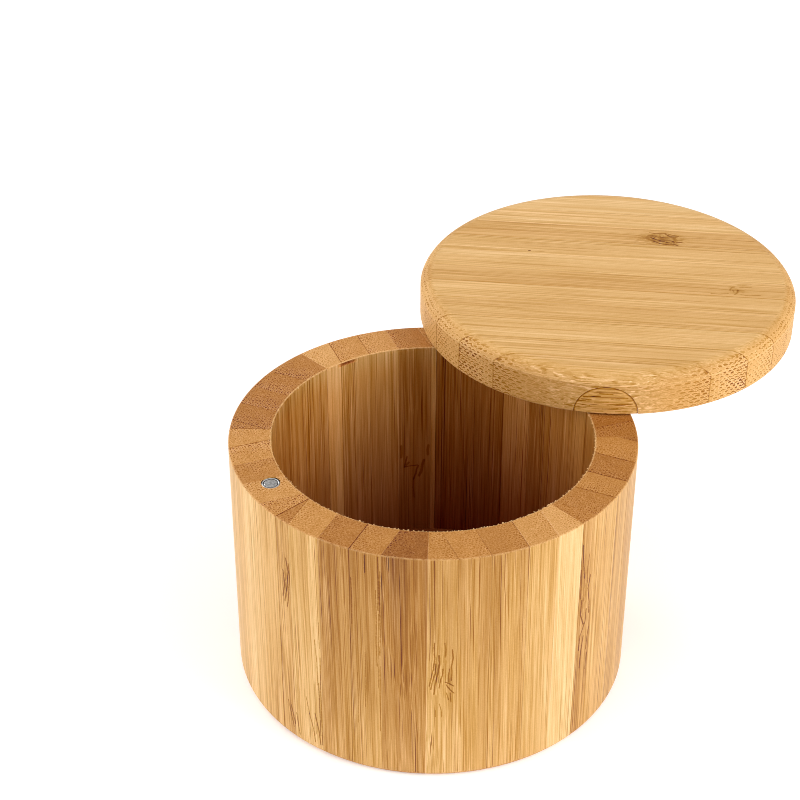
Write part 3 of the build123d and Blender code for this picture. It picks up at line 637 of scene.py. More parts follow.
def outer_profile():
    """The wall's closed section: (radius, height, outward normal, face) all the way round."""
    pts = []

    def line(r0, z0, r1, z1, step, n, tag):
        length = hypot(r1 - r0, z1 - z0)
        k = max(1, int(round(length / step)))
        for j in range(k):
            f = j / k
            pts.append((r0 + (r1 - r0) * f, z0 + (z1 - z0) * f, n[0], n[1], tag))

    def arc(cr, cz, rad, a0, a1, k, tag):
        for j in range(k):
            a = radians(a0 + (a1 - a0) * j / k)
            pts.append((cr + rad * cos(a), cz + rad * sin(a), cos(a), sin(a), tag))

    line(RAB, 0, RO - BASE_ROUND, 0, 0.8, (0, -1), 3)
    arc(RO - BASE_ROUND, BASE_ROUND, BASE_ROUND, -90, 0, 10, 0)
    line(RO, BASE_ROUND, RO, H - 1.2, 1.0, (1, 0), 0)
    line(RO, H - 1.2, RO, H - RIM_ROUND, 0.22, (1, 0), 0)
    arc(RO - RIM_ROUND, H - RIM_ROUND, RIM_ROUND, 0, 90, 6, 0)
    line(RO - RIM_ROUND, H, RO - 0.8, H, 0.16, (0, 1), 1)
    line(RO - 0.8, H, RI + 0.8, H, 0.32, (0, 1), 1)
    line(RI + 0.8, H, RI + BORE_ROUND, H, 0.14, (0, 1), 1)
    arc(RI + BORE_ROUND, H - BORE_ROUND, BORE_ROUND, 90, 180, 5, 2)
    line(RI, H - BORE_ROUND, RI, H - 1.4, 0.16, (-1, 0), 2)
    line(RI, H - 1.4, RI, BOT, 1.0, (-1, 0), 2)
    line(RI, BOT, RAB, BOT, 1.0, (0, -1), 3)
    line(RAB, BOT, RAB, 0, 2.0, (-1, 0), 3)
    return pts


PROFILE = outer_profile()


def clip_profile(r0):
    """The section with everything inside radius r0 cut off, for a wedge whose point doesn't reach the bore."""
    if r0 <= RI:
        return PROFILE
    out = []
    for (r, z, nr, nz, tag) in PROFILE:
        if r >= r0 - 1e-9:
            out.append((r, z, nr, nz, tag))
    # the loop starts at the rebate's lower corner; close it along r0
    top = [x for x in out if x[4] in (0, 1) or (x[4] == 2 and x[1] > H - 0.01)]
    bottom = [x for x in out if x[4] == 3]
    start = [x for x in bottom if x[1] < 1e-6]
    loop = []
    if r0 > RAB:
        loop.append((r0, 0.0, 0.0, -1.0, 3))
        loop += [x for x in start if x[0] > r0 + 0.05]
    else:
        loop += start
    loop += top
    if loop[-1][0] > r0 + 1e-6:
        loop.append((r0, H, 0.0, 1.0, 1))
    zlow = BOT if r0 < RAB else 0.0
    k = 40
    for j in range(1, k):
        loop.append((r0, H + (zlow - H) * j / k, -1.0, 0.0, 2))
    if r0 < RAB:
        loop.append((r0, BOT, 0.0, -1.0, 3))
        loop.append(((r0 + RAB) / 2, BOT, 0.0, -1.0, 3))
        loop.append((RAB, BOT, 0.0, -1.0, 3))
        loop.append((RAB, BOT / 2, -1.0, 0.0, 3))
    return loop


def wall_strip(i, k):
    cuts = [-1e3] + STAVES[i - 1] + [1e3]
    a, b = cuts[k - 1], cuts[k]
    mid = radians(MITRE0 + 45 * (i - 1) + 22.5)
    tip = 0.0
    if b < -RI * S22:
        tip = -b / S22
    if a > RI * S22:
        tip = a / S22
    prof = clip_profile(tip + 0.03 if tip > RI else 0.0)
    seed = i * 17 + k * 101
    width = min(b, RO * S22) - max(a, -RO * S22)
    n = max(5, int(width / 0.24))
    e = 0.075 / width
    ts = [0.0] + [e + (1 - 2 * e) * j / n for j in range(n + 1)] + [1.0]
    R = np.array([x[0] for x in prof]); Z = np.array([x[1] for x in prof])
    NR = np.array([x[2] for x in prof]); NZ = np.array([x[3] for x in prof])
    tag = np.array([x[4] for x in prof])
    pa = np.maximum(a, -R * S22)
    pb = np.minimum(b, R * S22)
    off = (hsh(np.array([i]), np.array([k]), 5)[0]) * 0.018            # each strip a hair lower than the next
    groove = 0.035 + 0.03 * hsh(np.array([k]), np.array([i]), 9)[0]
    verts = []
    for j, t in enumerate(ts):
        p = pa + t * (pb - pa)
        # fine fibre relief, always inwards
        relief = 0.012 * vnoise(p * 1.6 + 31 * i, Z * 0.06, seed) + 0.008 * vnoise(p * 3.1, Z * 0.15 + 3, seed + 1)
        top = 0.010 * vnoise(p * 2.7, R * 2.7, seed + 2) + 0.006 * vnoise(p * 0.9, R * 0.9, seed + 3)
        d = np.where(tag == 1, top + off, np.where(tag == 3, 0.0, relief + off * 0.6))
        # the bore's mouth is ragged where the tool tore the fibres, worst at one joint on the far left
        rag = vnoise(p * 3.3 + 7, i * 3.0, seed + 4)
        wide = vnoise(p * 0.8 + 3, i * 5.0, seed + 6)
        bear = np.degrees(np.arctan2(p * cos(mid) + np.sqrt(np.maximum(RI * RI - p * p, 0)) * sin(mid),
                                     np.sqrt(np.maximum(RI * RI - p * p, 0)) * cos(mid) - p * sin(mid)))
        mouth = (tag == 2) & (Z > H - 0.6)
        d = np.where(mouth, d + (0.10 + 0.14 * wide) * np.clip(rag - 0.40, 0, 1), d)
        tear = np.exp(-((bear - 124.5) / 3.2) ** 4) * (0.35 + 0.65 * rag)
        d = np.where((tag == 2) & (Z < H - BORE_ROUND - 0.02) & (Z > H - 0.95), d + 0.50 * tear, d)
        top = top + np.where(R < RI + 0.75, 0.16 * tear * rag * np.clip((RI + 0.75 - R) / 0.5, 0, 1), 0.0)
        d = np.where(tag == 1, top + off, d)
        if j in (0, len(ts) - 1):
            d = d + groove
        d = np.where(tag == 3, 0.004, d)
        r = R - NR * d
        z = Z - NZ * d
        q = np.sqrt(np.maximum(r * r - p * p, 0))
        x = q * cos(mid) - p * sin(mid)
        y = q * sin(mid) + p * cos(mid)
        verts += list(zip(x.tolist(), y.tolist(), z.tolist()))
    m = len(prof)
    faces = []
    for j in range(len(ts) - 1):
        for c in range(m):
            c2 = (c + 1) % m
            faces.append((j * m + c, j * m + c2, (j + 1) * m + c2, (j + 1) * m + c))
    faces.append(tuple(range(m)))
    faces.append(tuple((len(ts) - 1) * m + c for c in reversed(range(m))))
    node = f"stave_{i}_strip_{k}"
    me = bpy.data.meshes.new("wall_" + node)
    me.from_pydata([tuple(v * 0.001 for v in p) for p in verts], [], faces)
    me.validate()
    return node, me, (a, b, mid, seed)


def wall_attributes(o, i, k, a, b, mid, seed):
    co = coords_mm(o)
    nx, ny = -sin(mid), cos(mid)
    p = co[:, 0] * nx + co[:, 1] * ny
    q = co[:, 0] * cos(mid) + co[:, 1] * sin(mid)
    z = co[:, 2]
    r = np.hypot(co[:, 0], co[:, 1])
    c22 = cos(radians(22.5))
    dA = np.minimum(p - a, q * S22 + p * c22)
    dB = np.minimum(b - p, q * S22 - p * c22)
    light, red, dens, la, lb, dash, streak = W[(i, k)]
    ox = hsh(np.array([seed]), np.array([1]), 3)[0] * 400
    oy = hsh(np.array([seed]), np.array([2]), 3)[0] * 400
    oz = hsh(np.array([seed]), np.array([3]), 3)[0] * 400
    one = np.ones_like(p)
    attr(o, "grain", np.stack([p + ox + SLANT.get(i, 0.0) * (z - H / 2), q + oy, z + oz], 1))
    face = (r > RO - 0.6) & (z < H - 0.05)
    rimf = (z >= H - 0.05) | ((z > H - 0.4) & ~face & (r > RI + 0.1))
    lt = light + np.where(r < RI + 0.3, INNER_TONE_AND_LIGHT.get((i, k), 0.0), 0.0) - np.where(face, FADE.get((i, k), 0.0) * (z / H - 0.5), 0.0) + np.where(rimf, RIM_T.get((i, k), 0.0) - 0.04, 0.0)
    attr(o, "tone", np.stack([lt, np.where(r < RI + 0.3, np.maximum(red, INNER_RED_AND_SHADE.get((i, k), 0.0)), red), dens * DOTTY.get(i, 1.0) * one], 1))
    # pale edges: painted highlight along the rim's outer edge and the bore's mouth, mixed with rubbed wear there and at
    # the foot
    outer = np.exp(-(np.hypot(RO - 0.08 - r, H - 0.08 - z) / 0.17) ** 2)
    bore = np.exp(-(np.hypot(np.maximum(r - RI - 0.16, 0.0), np.maximum(H - 0.10 - z, 0.0)) / 0.12) ** 2) * (0.75 + 0.25 * hsh(np.round(np.degrees(np.arctan2(co[:, 1], co[:, 0])) * 1.7), np.zeros(len(co)), 8))
    base = np.exp(-(np.hypot(RO - 0.4 - r, z - 0.4) / 0.5) ** 2) * 0.3
    attr(o, "edge", np.stack([dA, dB, np.clip(outer * 0.55 + bore + base, 0, 1)], 1))
    # painted shade inside the bowl, growing with depth; the torn spot at the mouth gets it too
    inside = (r < RI + 0.3) & (z > BOT - 0.2)
    dep_shade = np.where(inside, np.clip((H - z) / (H - BOT), 0.0, 1) ** 0.9 * DEPTH_SHADE.get((i, k), DEPTH_SHADE.get(i, 1.0)), 0.0)
    bearing = np.degrees(np.arctan2(co[:, 1], co[:, 0]))
    torn = np.exp(-((bearing - 124.5) / 3.2) ** 4) * (r < RI + 0.7) * (z > H - 1.05) * (z < H - 0.22)
    dep_shade = np.maximum(dep_shade, 0.75 * torn)
    attr(o, "line", np.stack([la * one, lb * one, dep_shade], 1))
    kz, kp, hz, hp, ks, sweep = KNOTS.get((i, k), (0.0, 0.0, 1.0, 1.0, 0.0, 0.0))
    p0 = max(a, -RO * S22)
    attr(o, "knot", np.stack([(z - kz) / hz, (p - p0 - kp) / hp, ks * one], 1))
    skin = (p - p0) if i in (8, 1, 3) else (min(b, RO * S22) - p)
    attr(o, "place", np.stack([z, p - p0, skin], 1))
    attr(o, "figure", np.stack([dash * one, streak * one, sweep * one], 1))
    attr(o, "axis", np.stack([0 * one, 0 * one, one], 1))


mag_cut = cylinder_cutter("cut_mag", MAG[0], MAG[1], H - 3.25, H + 5, 2.03)
pil_cut = cylinder_cutter("cut_pilot", PIV[0], PIV[1], H - 22.12, H + 5, 1.5)
wall_pieces = {}
for i in range(1, 9):
    for k in range(1, len(STAVES[i - 1]) + 2):
        node, me, info = wall_strip(i, k)
        if (i, k) in ((8, 3), (8, 4)):
            me = boolean(me, mag_cut)
        if (i, k) in ((4, 2), (4, 3)):
            me = boolean(me, pil_cut)
        o = finish_object("wall_" + node, me, "box", MARKED.get((i, k), M_WALL), node)
        wall_attributes(o, i, k, *info)
        wall_pieces[(i, k)] = o
drop(mag_cut, pil_cut)

# ------------------------------------------------------------------ the lid's strips
# light, red, bundle density, line A, line B, dashes, streaks
LID_T = [
    (0.46, 0.02, 1.0, 0.0, -0.30, 0.1, 0.9), (0.52, 0.04, 1.0, -0.25, -0.7, 0.1, 0.9), (0.57, 0.05, 0.40, -0.4, -0.6, 0.1, 0.9), (0.52, 0.05, 0.32, -0.5, 0.2, 0.1, 0.9),
    (0.56, 0.03, 0.26, 0.25, -0.5, 0.1, 0.9), (0.48, 0.08, 0.26, -0.3, -0.4, 0.1, 1.0), (0.58, 0.02, 0.26, -0.1, 0.2, 0.0, 0.8), (0.55, 0.03, 0.30, 0.3, -0.75, 0.0, 0.9),
    (0.45, 0.12, 0.24, -0.4, 0.2, 0.1, 1.0), (0.57, 0.04, 0.30, 0.2, -0.3, 0.1, 0.9), (0.63, 0.00, 0.34, 0.2, -0.2, 0.0, 0.8), (0.54, 0.04, 0.34, 0.0, 0.0, 0.1, 0.8),
]
# along the grain, across from side A, half length, half width, strength, sweep
LID_KNOTS = {9: (12.8, 3.2, 6.0, 3.2, 0.85, 0.5), 6: (30.2, 3.0, 3.4, 2.2, 0.40, 0.8)}
GU = (cos(GRAIN), sin(GRAIN))                   # along the grain
GN = (-sin(GRAIN), cos(GRAIN))                  # across it


def lid_section(p):
    """Half of the lid's section, the same at every offset p from its centre, as p is not used: (radius, height) points
    from where the top's rounding starts, over the rim, down to the bottom of the lower edge."""
    zt, zb = ZL + LT, ZL
    a0 = degrees(np.arccos(LIN / LRND))
    zc = zt - LRND + LRND * sin(radians(a0))
    ring = []
    for a in (90, 86, 80, 73, 66, 59, 52, 45, 38, 32, 26, 22.5, a0 + 1.2):       # upper rounding
        ring.append((RL - LIN + LRND * cos(radians(a)), zt - LRND + LRND * sin(radians(a))))
    ring.append((RL, zc))                                                        # crease
    for z in [zc - 0.07, zc - 0.3] + list(np.linspace(zc - 0.9, zb + LUND, 8)):  # side
        ring.append((RL, z))
    for j in range(1, 5):                                                        # lower edge
        a = radians(-90 * j / 4)
        ring.append((RL - LUND + LUND * cos(a), zb + LUND + LUND * sin(a)))
    return ring


def lid_z_limits(ap):
    """Highest and lowest z of the lid at distance ap from its centre line, where the rounding is cut off."""
    zt, zb = ZL + LT, ZL
    if ap > RL - LIN:
        zt = zt - LRND + sqrt(max(LRND ** 2 - (ap - (RL - LIN)) ** 2, 0.0))
    if ap > RL - LUND:
        zb = zb + LUND - sqrt(max(LUND ** 2 - (ap - (RL - LUND)) ** 2, 0.0))
    return zt, zb


def lid_strip(k):
    cuts = [-RL] + LID_CUTS + [RL]
    a, b = cuts[k - 1], cuts[k]
    seed = 900 + k * 37
    groove = 0.03
    if k == 1 or k == 12:
        # crowded towards the disc's edge, so that its outline is round
        lo, hi = (a, b) if k == 1 else (a, b)
        th = np.linspace(0, np.arccos(min(1, abs(b if k == 1 else a) / RL)), 70)
        ps = RL * np.cos(th)
        ps = -ps if k == 1 else ps[::-1]
        ps = list(ps)
        e = 0.075
        if k == 1:
            ps = [x for x in ps if x < b - e] + [b - e, b]
        else:
            ps = [a, a + e] + [x for x in ps if x > a + e]
    else:
        e = 0.075
        n = max(6, int((b - a) / 0.36))
        ps = [a] + list(np.linspace(a + e, b - e, n + 1)) + [b]
    nt = 84                                                      # points along the top
    verts, counts = [], None
    for j, p in enumerate(ps):
        ap = min(abs(p), RL)
        zt, zb = lid_z_limits(ap)
        ring = lid_section(p)
        edge_col = (j == 0 and k > 1) or (j == len(ps) - 1 and k < 12)
        col = []
        for (r, z) in ring:
            rr = max(r, ap)
            s = sqrt(max(rr * rr - ap * ap, 0.0))
            if r <= ap:
                s = 0.0
                z = min(max(z, zb), zt)
            col.append((s, z, r))
        s_top, s_bot = col[0][0], col[-1][0]
        right = list(col)
        left = [(-s, z, r) for (s, z, r) in reversed(col)]
        top = [(-s_top + 2 * s_top * m / nt, col[0][1], 0) for m in range(1, nt)]
        bottom = [(s_bot - 2 * s_bot * m / 24, col[-1][1], 0) for m in range(1, 24)]
        loop = []
        loop += [(x, z, 1) for (x, z, _) in top]
        loop += [(x, z, 2) for (x, z, _) in right]
        loop += [(x, z, 3) for (x, z, _) in bottom]
        loop += [(x, z, 2) for (x, z, _) in left]
        out = []
        for (s, z, tg) in loop:
            d = 0.0
            if tg == 1:
                d = 0.006 * float(vnoise(p * 1.5, s * 0.05, seed)) + 0.003 * float(vnoise(p * 3.2, s * 0.12, seed + 1))
            if edge_col:
                zz = z - groove if z > ZL + 5 else z + (groove if z < ZL + 0.2 else 0)
                ss = s - (groove if s > 0 else -groove) if abs(s) > 1 and tg == 2 else s
            else:
                zz, ss = z - d, s
            x = LC[0] + ss * GU[0] + p * GN[0]
            y = LC[1] + ss * GU[1] + p * GN[1]
            out.append((x, y, zz))
        counts = len(out)
        verts += out
    faces = []
    m = counts
    for j in range(len(ps) - 1):
        for c in range(m):
            c2 = (c + 1) % m
            faces.append((j * m + c, j * m + c2, (j + 1) * m + c2, (j + 1) * m + c))
    if k > 1:
        faces.append(tuple(range(m)))
    if k < 12:
        faces.append(tuple((len(ps) - 1) * m + c for c in reversed(range(m))))
    me = bpy.data.meshes.new(f"lid_{k}")
    me.from_pydata([tuple(v * 0.001 for v in q) for q in verts], [], faces)
    bm = bmesh.new(); bm.from_mesh(me)
    bmesh.ops.remove_doubles(bm, verts=bm.verts, dist=1e-7)
    bmesh.ops.dissolve_degenerate(bm, edges=bm.edges, dist=1e-7)
    seen = {}
    for f in list(bm.faces):
        key = frozenset(v.index for v in f.verts)
        if key in seen or len(key) < 3:
            bm.faces.remove(f)
        else:
            seen[key] = f
    bmesh.ops.recalc_face_normals(bm, faces=bm.faces)
    bm.to_mesh(me); bm.free()
    return me, a, b, seed


def lid_attributes(o, k, a, b, seed):
    co = coords_mm(o)
    dx, dy = co[:, 0] - LC[0], co[:, 1] - LC[1]
    p = dx * GN[0] + dy * GN[1]
    s = dx * GU[0] + dy * GU[1]
    z = co[:, 2]
    r = np.hypot(dx, dy)
    one = np.ones_like(p)
    light, red, dens, la, lb, dash, streak = LID_T[k - 1]
    o3 = [hsh(np.array([seed]), np.array([m]), 3)[0] * 400 for m in (1, 2, 3)]
    attr(o, "grain", np.stack([p + o3[0], z + o3[1], s + o3[2]], 1))
    attr(o, "tone", np.stack([light * one, red * one, dens * one], 1))
    dA = p - a if k > 1 else one * 9
    dB = b - p if k < 12 else one * 9
    zc = ZL + LT - LRND + sqrt(LRND ** 2 - LIN ** 2)
    # pale edges: painted highlight along the crease between rounding and side, mixed with wear there and at the lower
    # edge
    crease = np.exp(-((z - zc) / 0.13) ** 2) * (r > RL - 0.3)
    low = np.exp(-(np.hypot(RL - 0.1 - r, z - ZL - 0.1) / 0.2) ** 2)
    attr(o, "edge", np.stack([dA, dB, np.clip(crease * 0.7 + low * 0.4, 0, 1)], 1))
    attr(o, "line", np.stack([la * one, lb * one, 0 * one], 1))
    ks, kp, hs, hp, kst, sweep = LID_KNOTS.get(k, (0.0, 0.0, 1.0, 1.0, 0.0, 0.0))
    attr(o, "knot", np.stack([(s - ks) / hs, (p - a - kp) / hp, kst * one], 1))
    attr(o, "place", np.stack([s, p - a, b - p], 1))
    attr(o, "figure", np.stack([dash * one, streak * one, sweep * one], 1))
    attr(o, "axis", np.stack([GU[0] * one, GU[1] * one, 0 * one], 1))


plug_start = (LC[0] + (RL - 12.0) * cos(PLUG_DIR), LC[1] + (RL - 12.0) * sin(PLUG_DIR), ZL)
groove_cut = cylinder_cutter("cut_groove", 0, 0, 0, 24, 7.15, seg=128, direction=(plug_start, PLUG_DIR))
lmag_cut = cylinder_cutter("cut_lmag", LMAG[0], LMAG[1], ZL - 5, ZL + 3.25, 2.03)
for k in range(1, 13):
    me, a, b, seed = lid_strip(k)
    if k <= 2:
        me = boolean(me, groove_cut)
    d_mag = (LMAG[0] - LC[0]) * GN[0] + (LMAG[1] - LC[1]) * GN[1]
    if a - 2.1 < d_mag < b + 2.1:
        me = boolean(me, lmag_cut)
    o = finish_object(f"lid_panel_{k}", me, "lid", LID_MARKED.get(k, M_LID), f"lid_strip_{k}", sharp=40)
    lid_attributes(o, k, a, b, seed)
drop(groove_cut, lmag_cut)


# ------------------------------------------------------------------ the half-round plug over the pivot
PLUG_R, PLUG_L = 7.10, 12.0


def plug_piece():
    """Half-round bar lying along the pivot's bearing, its outer end turned with the lid's edge."""
    zt = ZL + LT
    nu, ni = 72, 40
    angs = [pi * j / nu for j in range(nu + 1)]
    verts, faces = [], []

    def put(u, v, h):                                  # along, across, up
        verts.append((LC[0] + u * cos(PLUG_DIR) - v * sin(PLUG_DIR), LC[1] + u * sin(PLUG_DIR) + v * cos(PLUG_DIR), ZL + h))
        return len(verts) - 1

    def out_u(v, h):
        """Where the lid's turned side lies, at v across and h up."""
        r = RL
        if h > LT - LRND + sqrt(LRND ** 2 - LIN ** 2):
            r = RL - LIN + sqrt(max(LRND ** 2 - (h - (LT - LRND)) ** 2, 0))
        if h < LUND:
            r = RL - LUND + sqrt(max(LUND ** 2 - (LUND - h) ** 2, 0))
        return sqrt(max(r * r - v * v, 0)) - 0.012
    u0 = RL - PLUG_L
    # end faces as a fan of rings towards the middle of the flat side
    fr = [0.0] + [0.06 + 0.93 * j / ni for j in range(ni)] + [0.992, 1.0]
    outer_rows, inner_rows = [], []
    for f in fr:
        row_o, row_i = [], []
        for a in angs:
            v, h = PLUG_R * f * cos(a), PLUG_R * f * sin(a)
            row_i.append(put(u0, v, h))
            d = 0.05 if f == 1.0 else 0.008 * float(vnoise(h * 2.4, v * 0.15, 41))
            row_o.append(put(out_u(v, h) - d, v, h))
        outer_rows.append(row_o); inner_rows.append(row_i)
    for rows in (outer_rows, inner_rows):
        for m in range(len(fr) - 1):
            for j in range(nu):
                faces.append((rows[m][j], rows[m][j + 1], rows[m + 1][j + 1], rows[m + 1][j]))
    # the round back and the flat underside
    steps = 12
    prev = inner_rows[-1]
    for st in range(1, steps + 1):
        if st == steps:
            row = outer_rows[-1]
        else:
            row = []
            for j, a in enumerate(angs):
                v, h = PLUG_R * cos(a), PLUG_R * sin(a)
                e = out_u(v, h) - 0.05
                row.append(put(u0 + (e - u0) * st / steps, v, h))
        for j in range(nu):
            faces.append((prev[j], prev[j + 1], row[j + 1], row[j]))
        prev = row
    for side in (0, -1):
        flat_i = [r[side] for r in inner_rows]
        flat_o = [r[side] for r in outer_rows]
        pr = flat_i
        for st in range(1, steps + 1):
            if st == steps:
                row = flat_o
            else:
                row = []
                for n, f in enumerate(fr):
                    v = PLUG_R * f * (1 if side == 0 else -1)
                    e = out_u(v, 0.0) - (0.05 if f == 1.0 else 0.0)
                    row.append(put(u0 + (e - u0) * st / steps, v, 0.0))
            for n in range(len(fr) - 1):
                faces.append((pr[n], pr[n + 1], row[n + 1], row[n]))
            pr = row
    me = bpy.data.meshes.new("plug")
    me.from_pydata([tuple(c * 0.001 for c in v) for v in verts], [], faces)
    bm = bmesh.new(); bm.from_mesh(me)
    bmesh.ops.remove_doubles(bm, verts=bm.verts, dist=5e-7)
    bmesh.ops.dissolve_degenerate(bm, edges=bm.edges, dist=5e-7)
    bmesh.ops.recalc_face_normals(bm, faces=bm.faces)
    bm.to_mesh(me); bm.free()
    return me


me = plug_piece()
bore_cut = cylinder_cutter("cut_plug_bore", PIV[0], PIV[1], ZL - 2, ZL + 20, 1.81)
sink_cut = cylinder_cutter("cut_plug_sink", PIV[0], PIV[1], ZL + 3.0, ZL + 20, 3.8)
me = boolean(boolean(me, bore_cut), sink_cut)
drop(bore_cut, sink_cut)
PLUG_STOPS = [(0.0, lin(128, 80, 32)), (0.30, lin(178, 126, 62)), (0.60, lin(211, 162, 90)), (0.85, lin(230, 186, 118)), (1.0, lin(240, 202, 140))]
PLUG_LINES = [([(-1.6, 5.4), (1.3, 5.3)], 0.10, 0.55), ([(-5.0, 4.3), (-3.2, 4.5), (-1.4, 4.7)], 0.13, 0.75), ([(-5.4, 3.6), (-3.4, 3.7)], 0.12, 0.7), ([(-6.0, 3.1), (-4.6, 3.3)], 0.12, 0.65),
              ([(0.2, 2.5), (3.0, 2.7), (5.7, 2.8)], 0.12, 0.7), ([(-0.8, 1.4), (2.6, 1.6)], 0.11, 0.6), ([(-6.2, 2.2), (-3.6, 2.1)], 0.10, 0.6), ([(-6.6, 1.3), (-4.4, 1.5)], 0.11, 0.6),
              ([(1.0, 4.1), (4.6, 4.3)], 0.11, 0.6), ([(-2.6, 3.0), (0.4, 3.1)], 0.09, 0.45), ([(2.2, 0.8), (5.8, 0.9)], 0.09, 0.45), ([(-3.0, 0.7), (-0.6, 0.8)], 0.09, 0.45)]
M_PLUG = bamboo("bamboo_plug", PLUG_STOPS, (0.9, 0.8, 0.7, 1.0), finish=0.45, contrast=1.0, joint=3.2, strokes=PLUG_LINES, stroke_gain=0.66)
plug = finish_object("lid_pivot_plug", me, "lid", M_PLUG, "pivot_plug", sharp=35, merge=1e-7)
co = coords_mm(plug)
dx, dy = co[:, 0] - LC[0], co[:, 1] - LC[1]
along = dx * cos(PLUG_DIR) + dy * sin(PLUG_DIR)
across = -dx * sin(PLUG_DIR) + dy * cos(PLUG_DIR)
one = np.ones(len(co))
attr(plug, "grain", np.stack([co[:, 2] + 55, along + 21, across + 90], 1))
attr(plug, "tone", np.stack([0.54 * one, 0.08 * one, 0.9 * one], 1))
rad = np.hypot(across, co[:, 2] - ZL)
attr(plug, "edge", np.stack([PLUG_R + 0.04 - rad, one * 9, 0 * one], 1))
attr(plug, "line", np.stack([-0.75 * one, 0 * one, 0 * one], 1))
attr(plug, "knot", np.stack([0 * one, 0 * one, 0 * one], 1))
attr(plug, "place", np.stack([across, co[:, 2] - ZL, 3 * one], 1))
attr(plug, "figure", np.stack([0.1 * one, 1.0 * one, 0 * one], 1))
attr(plug, "axis", np.stack([-sin(PLUG_DIR) * one, cos(PLUG_DIR) * one, 0 * one], 1))


# ------------------------------------------------------------------ bottom disc
def disc_piece():
    r1 = RAB - 0.05
    verts, faces = [], []
    rings = [0.0] + list(np.linspace(0.8, r1 - 0.3, 46)) + [r1 - 0.08, r1]
    seg = 240
    prof = [(r, BOT - (0.10 if r > r1 - 0.05 else 0.0)) for r in rings]
    prof += [(r1, BOT - 2), (r1, 0.5), (r1, 0.25), (r1 - 0.25, 0.0)]
    prof += [(r, 0.0) for r in reversed(rings[:-2])]
    idx = []
    for (r, z) in prof:
        if r == 0.0:
            verts.append((0.0, 0.0, z)); idx.append([len(verts) - 1] * seg)
            continue
        row = []
        for j in range(seg):
            a = 2 * pi * j / seg
            x, y = r * cos(a), r * sin(a)
            zz = z
            if z > BOT - 0.2 and r < r1 - 0.1:
                w = (x * cos(0.6) + y * sin(0.6))
                zz = z - 0.01 * float(vnoise(w * 1.4, (y * cos(0.6) - x * sin(0.6)) * 0.05, 77))
            row.append(len(verts)); verts.append((x, y, zz))
        idx.append(row)
    for m in range(len(prof) - 1):
        for j in range(seg):
            j2 = (j + 1) % seg
            f = [idx[m][j], idx[m][j2], idx[m + 1][j2], idx[m + 1][j]]
            f = list(dict.fromkeys(f))
            if len(f) >= 3:
                faces.append(tuple(f))
    return verts, faces


verts, faces = disc_piece()
disc = to_object("bottom_panel", verts, faces, "box", M_WALL, "bottom_disc")
co = coords_mm(disc)
ga = radians(34.0)
p = -co[:, 0] * sin(ga) + co[:, 1] * cos(ga)
s = co[:, 0] * cos(ga) + co[:, 1] * sin(ga)
one = np.ones(len(co))
pitch = 7.1
attr(disc, "grain", np.stack([p + 50, co[:, 2] + 20, s + 300], 1))
attr(disc, "tone", np.stack([0.5 * one, 0.25 * one, 0.6 * one], 1))
attr(disc, "edge", np.stack([9 * one, 9 * one, 0 * one], 1))
top = (co[:, 2] > BOT - 0.3)
# painted shade: the bowl's floor gets the depth darkening almost in full
attr(disc, "line", np.stack([0 * one, 0 * one, np.where(top, 0.9, 0.0)], 1))
attr(disc, "knot", np.stack([0 * one, 0 * one, 0 * one], 1))
attr(disc, "place", np.stack([0 * one, 0 * one, 4 * one], 1))
attr(disc, "figure", np.stack([0.2 * one, 0.9 * one, 0 * one], 1))
attr(disc, "axis", np.stack([cos(ga) * one, sin(ga) * one, 0 * one], 1))


# ------------------------------------------------------------------ magnets
def magnet_piece(name, node, x, y, z0, up, body):
    """A turned disc magnet with a broken edge; its face is very slightly dished."""
    prof = [(0.0, 2.965), (0.5, 2.965), (0.9, 2.97), (1.25, 2.965), (1.38, 2.95), (1.43, 2.91), (1.47, 2.86), (1.52, 2.84), (1.56, 2.86), (1.60, 2.93), (1.66, 2.975),
            (1.76, 2.998), (1.82, 2.995), (1.88, 2.97), (1.93, 2.93), (1.97, 2.86), (1.99, 2.78), (2.0, 2.68), (2.0, 1.5), (2.0, 0.28), (1.96, 0.2), (1.78, 0.025), (1.7, 0.0), (0.9, 0.0), (0.0, 0.0)]
    seg = 96
    verts, idx = [], []
    for (r, z) in prof:
        zz = z if up else 3.0 - z
        if r == 0:
            verts.append((x, y, z0 + zz)); idx.append([len(verts) - 1] * seg); continue
        row = []
        for j in range(seg):
            a = 2 * pi * j / seg
            row.append(len(verts)); verts.append((x + r * cos(a), y + r * sin(a), z0 + zz))
        idx.append(row)
    faces = []
    for m in range(len(prof) - 1):
        for j in range(seg):
            j2 = (j + 1) % seg
            f = list(dict.fromkeys([idx[m][j], idx[m][j2], idx[m + 1][j2], idx[m + 1][j]]))
            if len(f) >= 3:
                faces.append(tuple(f))
    o = to_object(name, verts, faces, body, M_NICKEL, node)
    co = coords_mm(o)
    r = np.hypot(co[:, 0] - x, co[:, 1] - y)
    # painted shade: face a little darker, ring groove much darker
    shade = np.where(r < 1.40, 0.30, np.where(r < 1.63, 0.95, 0.0))
    attr(o, "shade", np.stack([shade, 0 * r, 0 * r], 1))
    return o


magnet_piece("rim_magnet", "body_magnet", MAG[0], MAG[1], H - 3.13, True, "box")
magnet_piece("underside_magnet", "lid_magnet", LMAG[0], LMAG[1], ZL + 0.25, False, "lid")

screw = NODES["pivot_screw"]
screw.data.materials.clear()
screw.data.materials.append(M_STEEL)


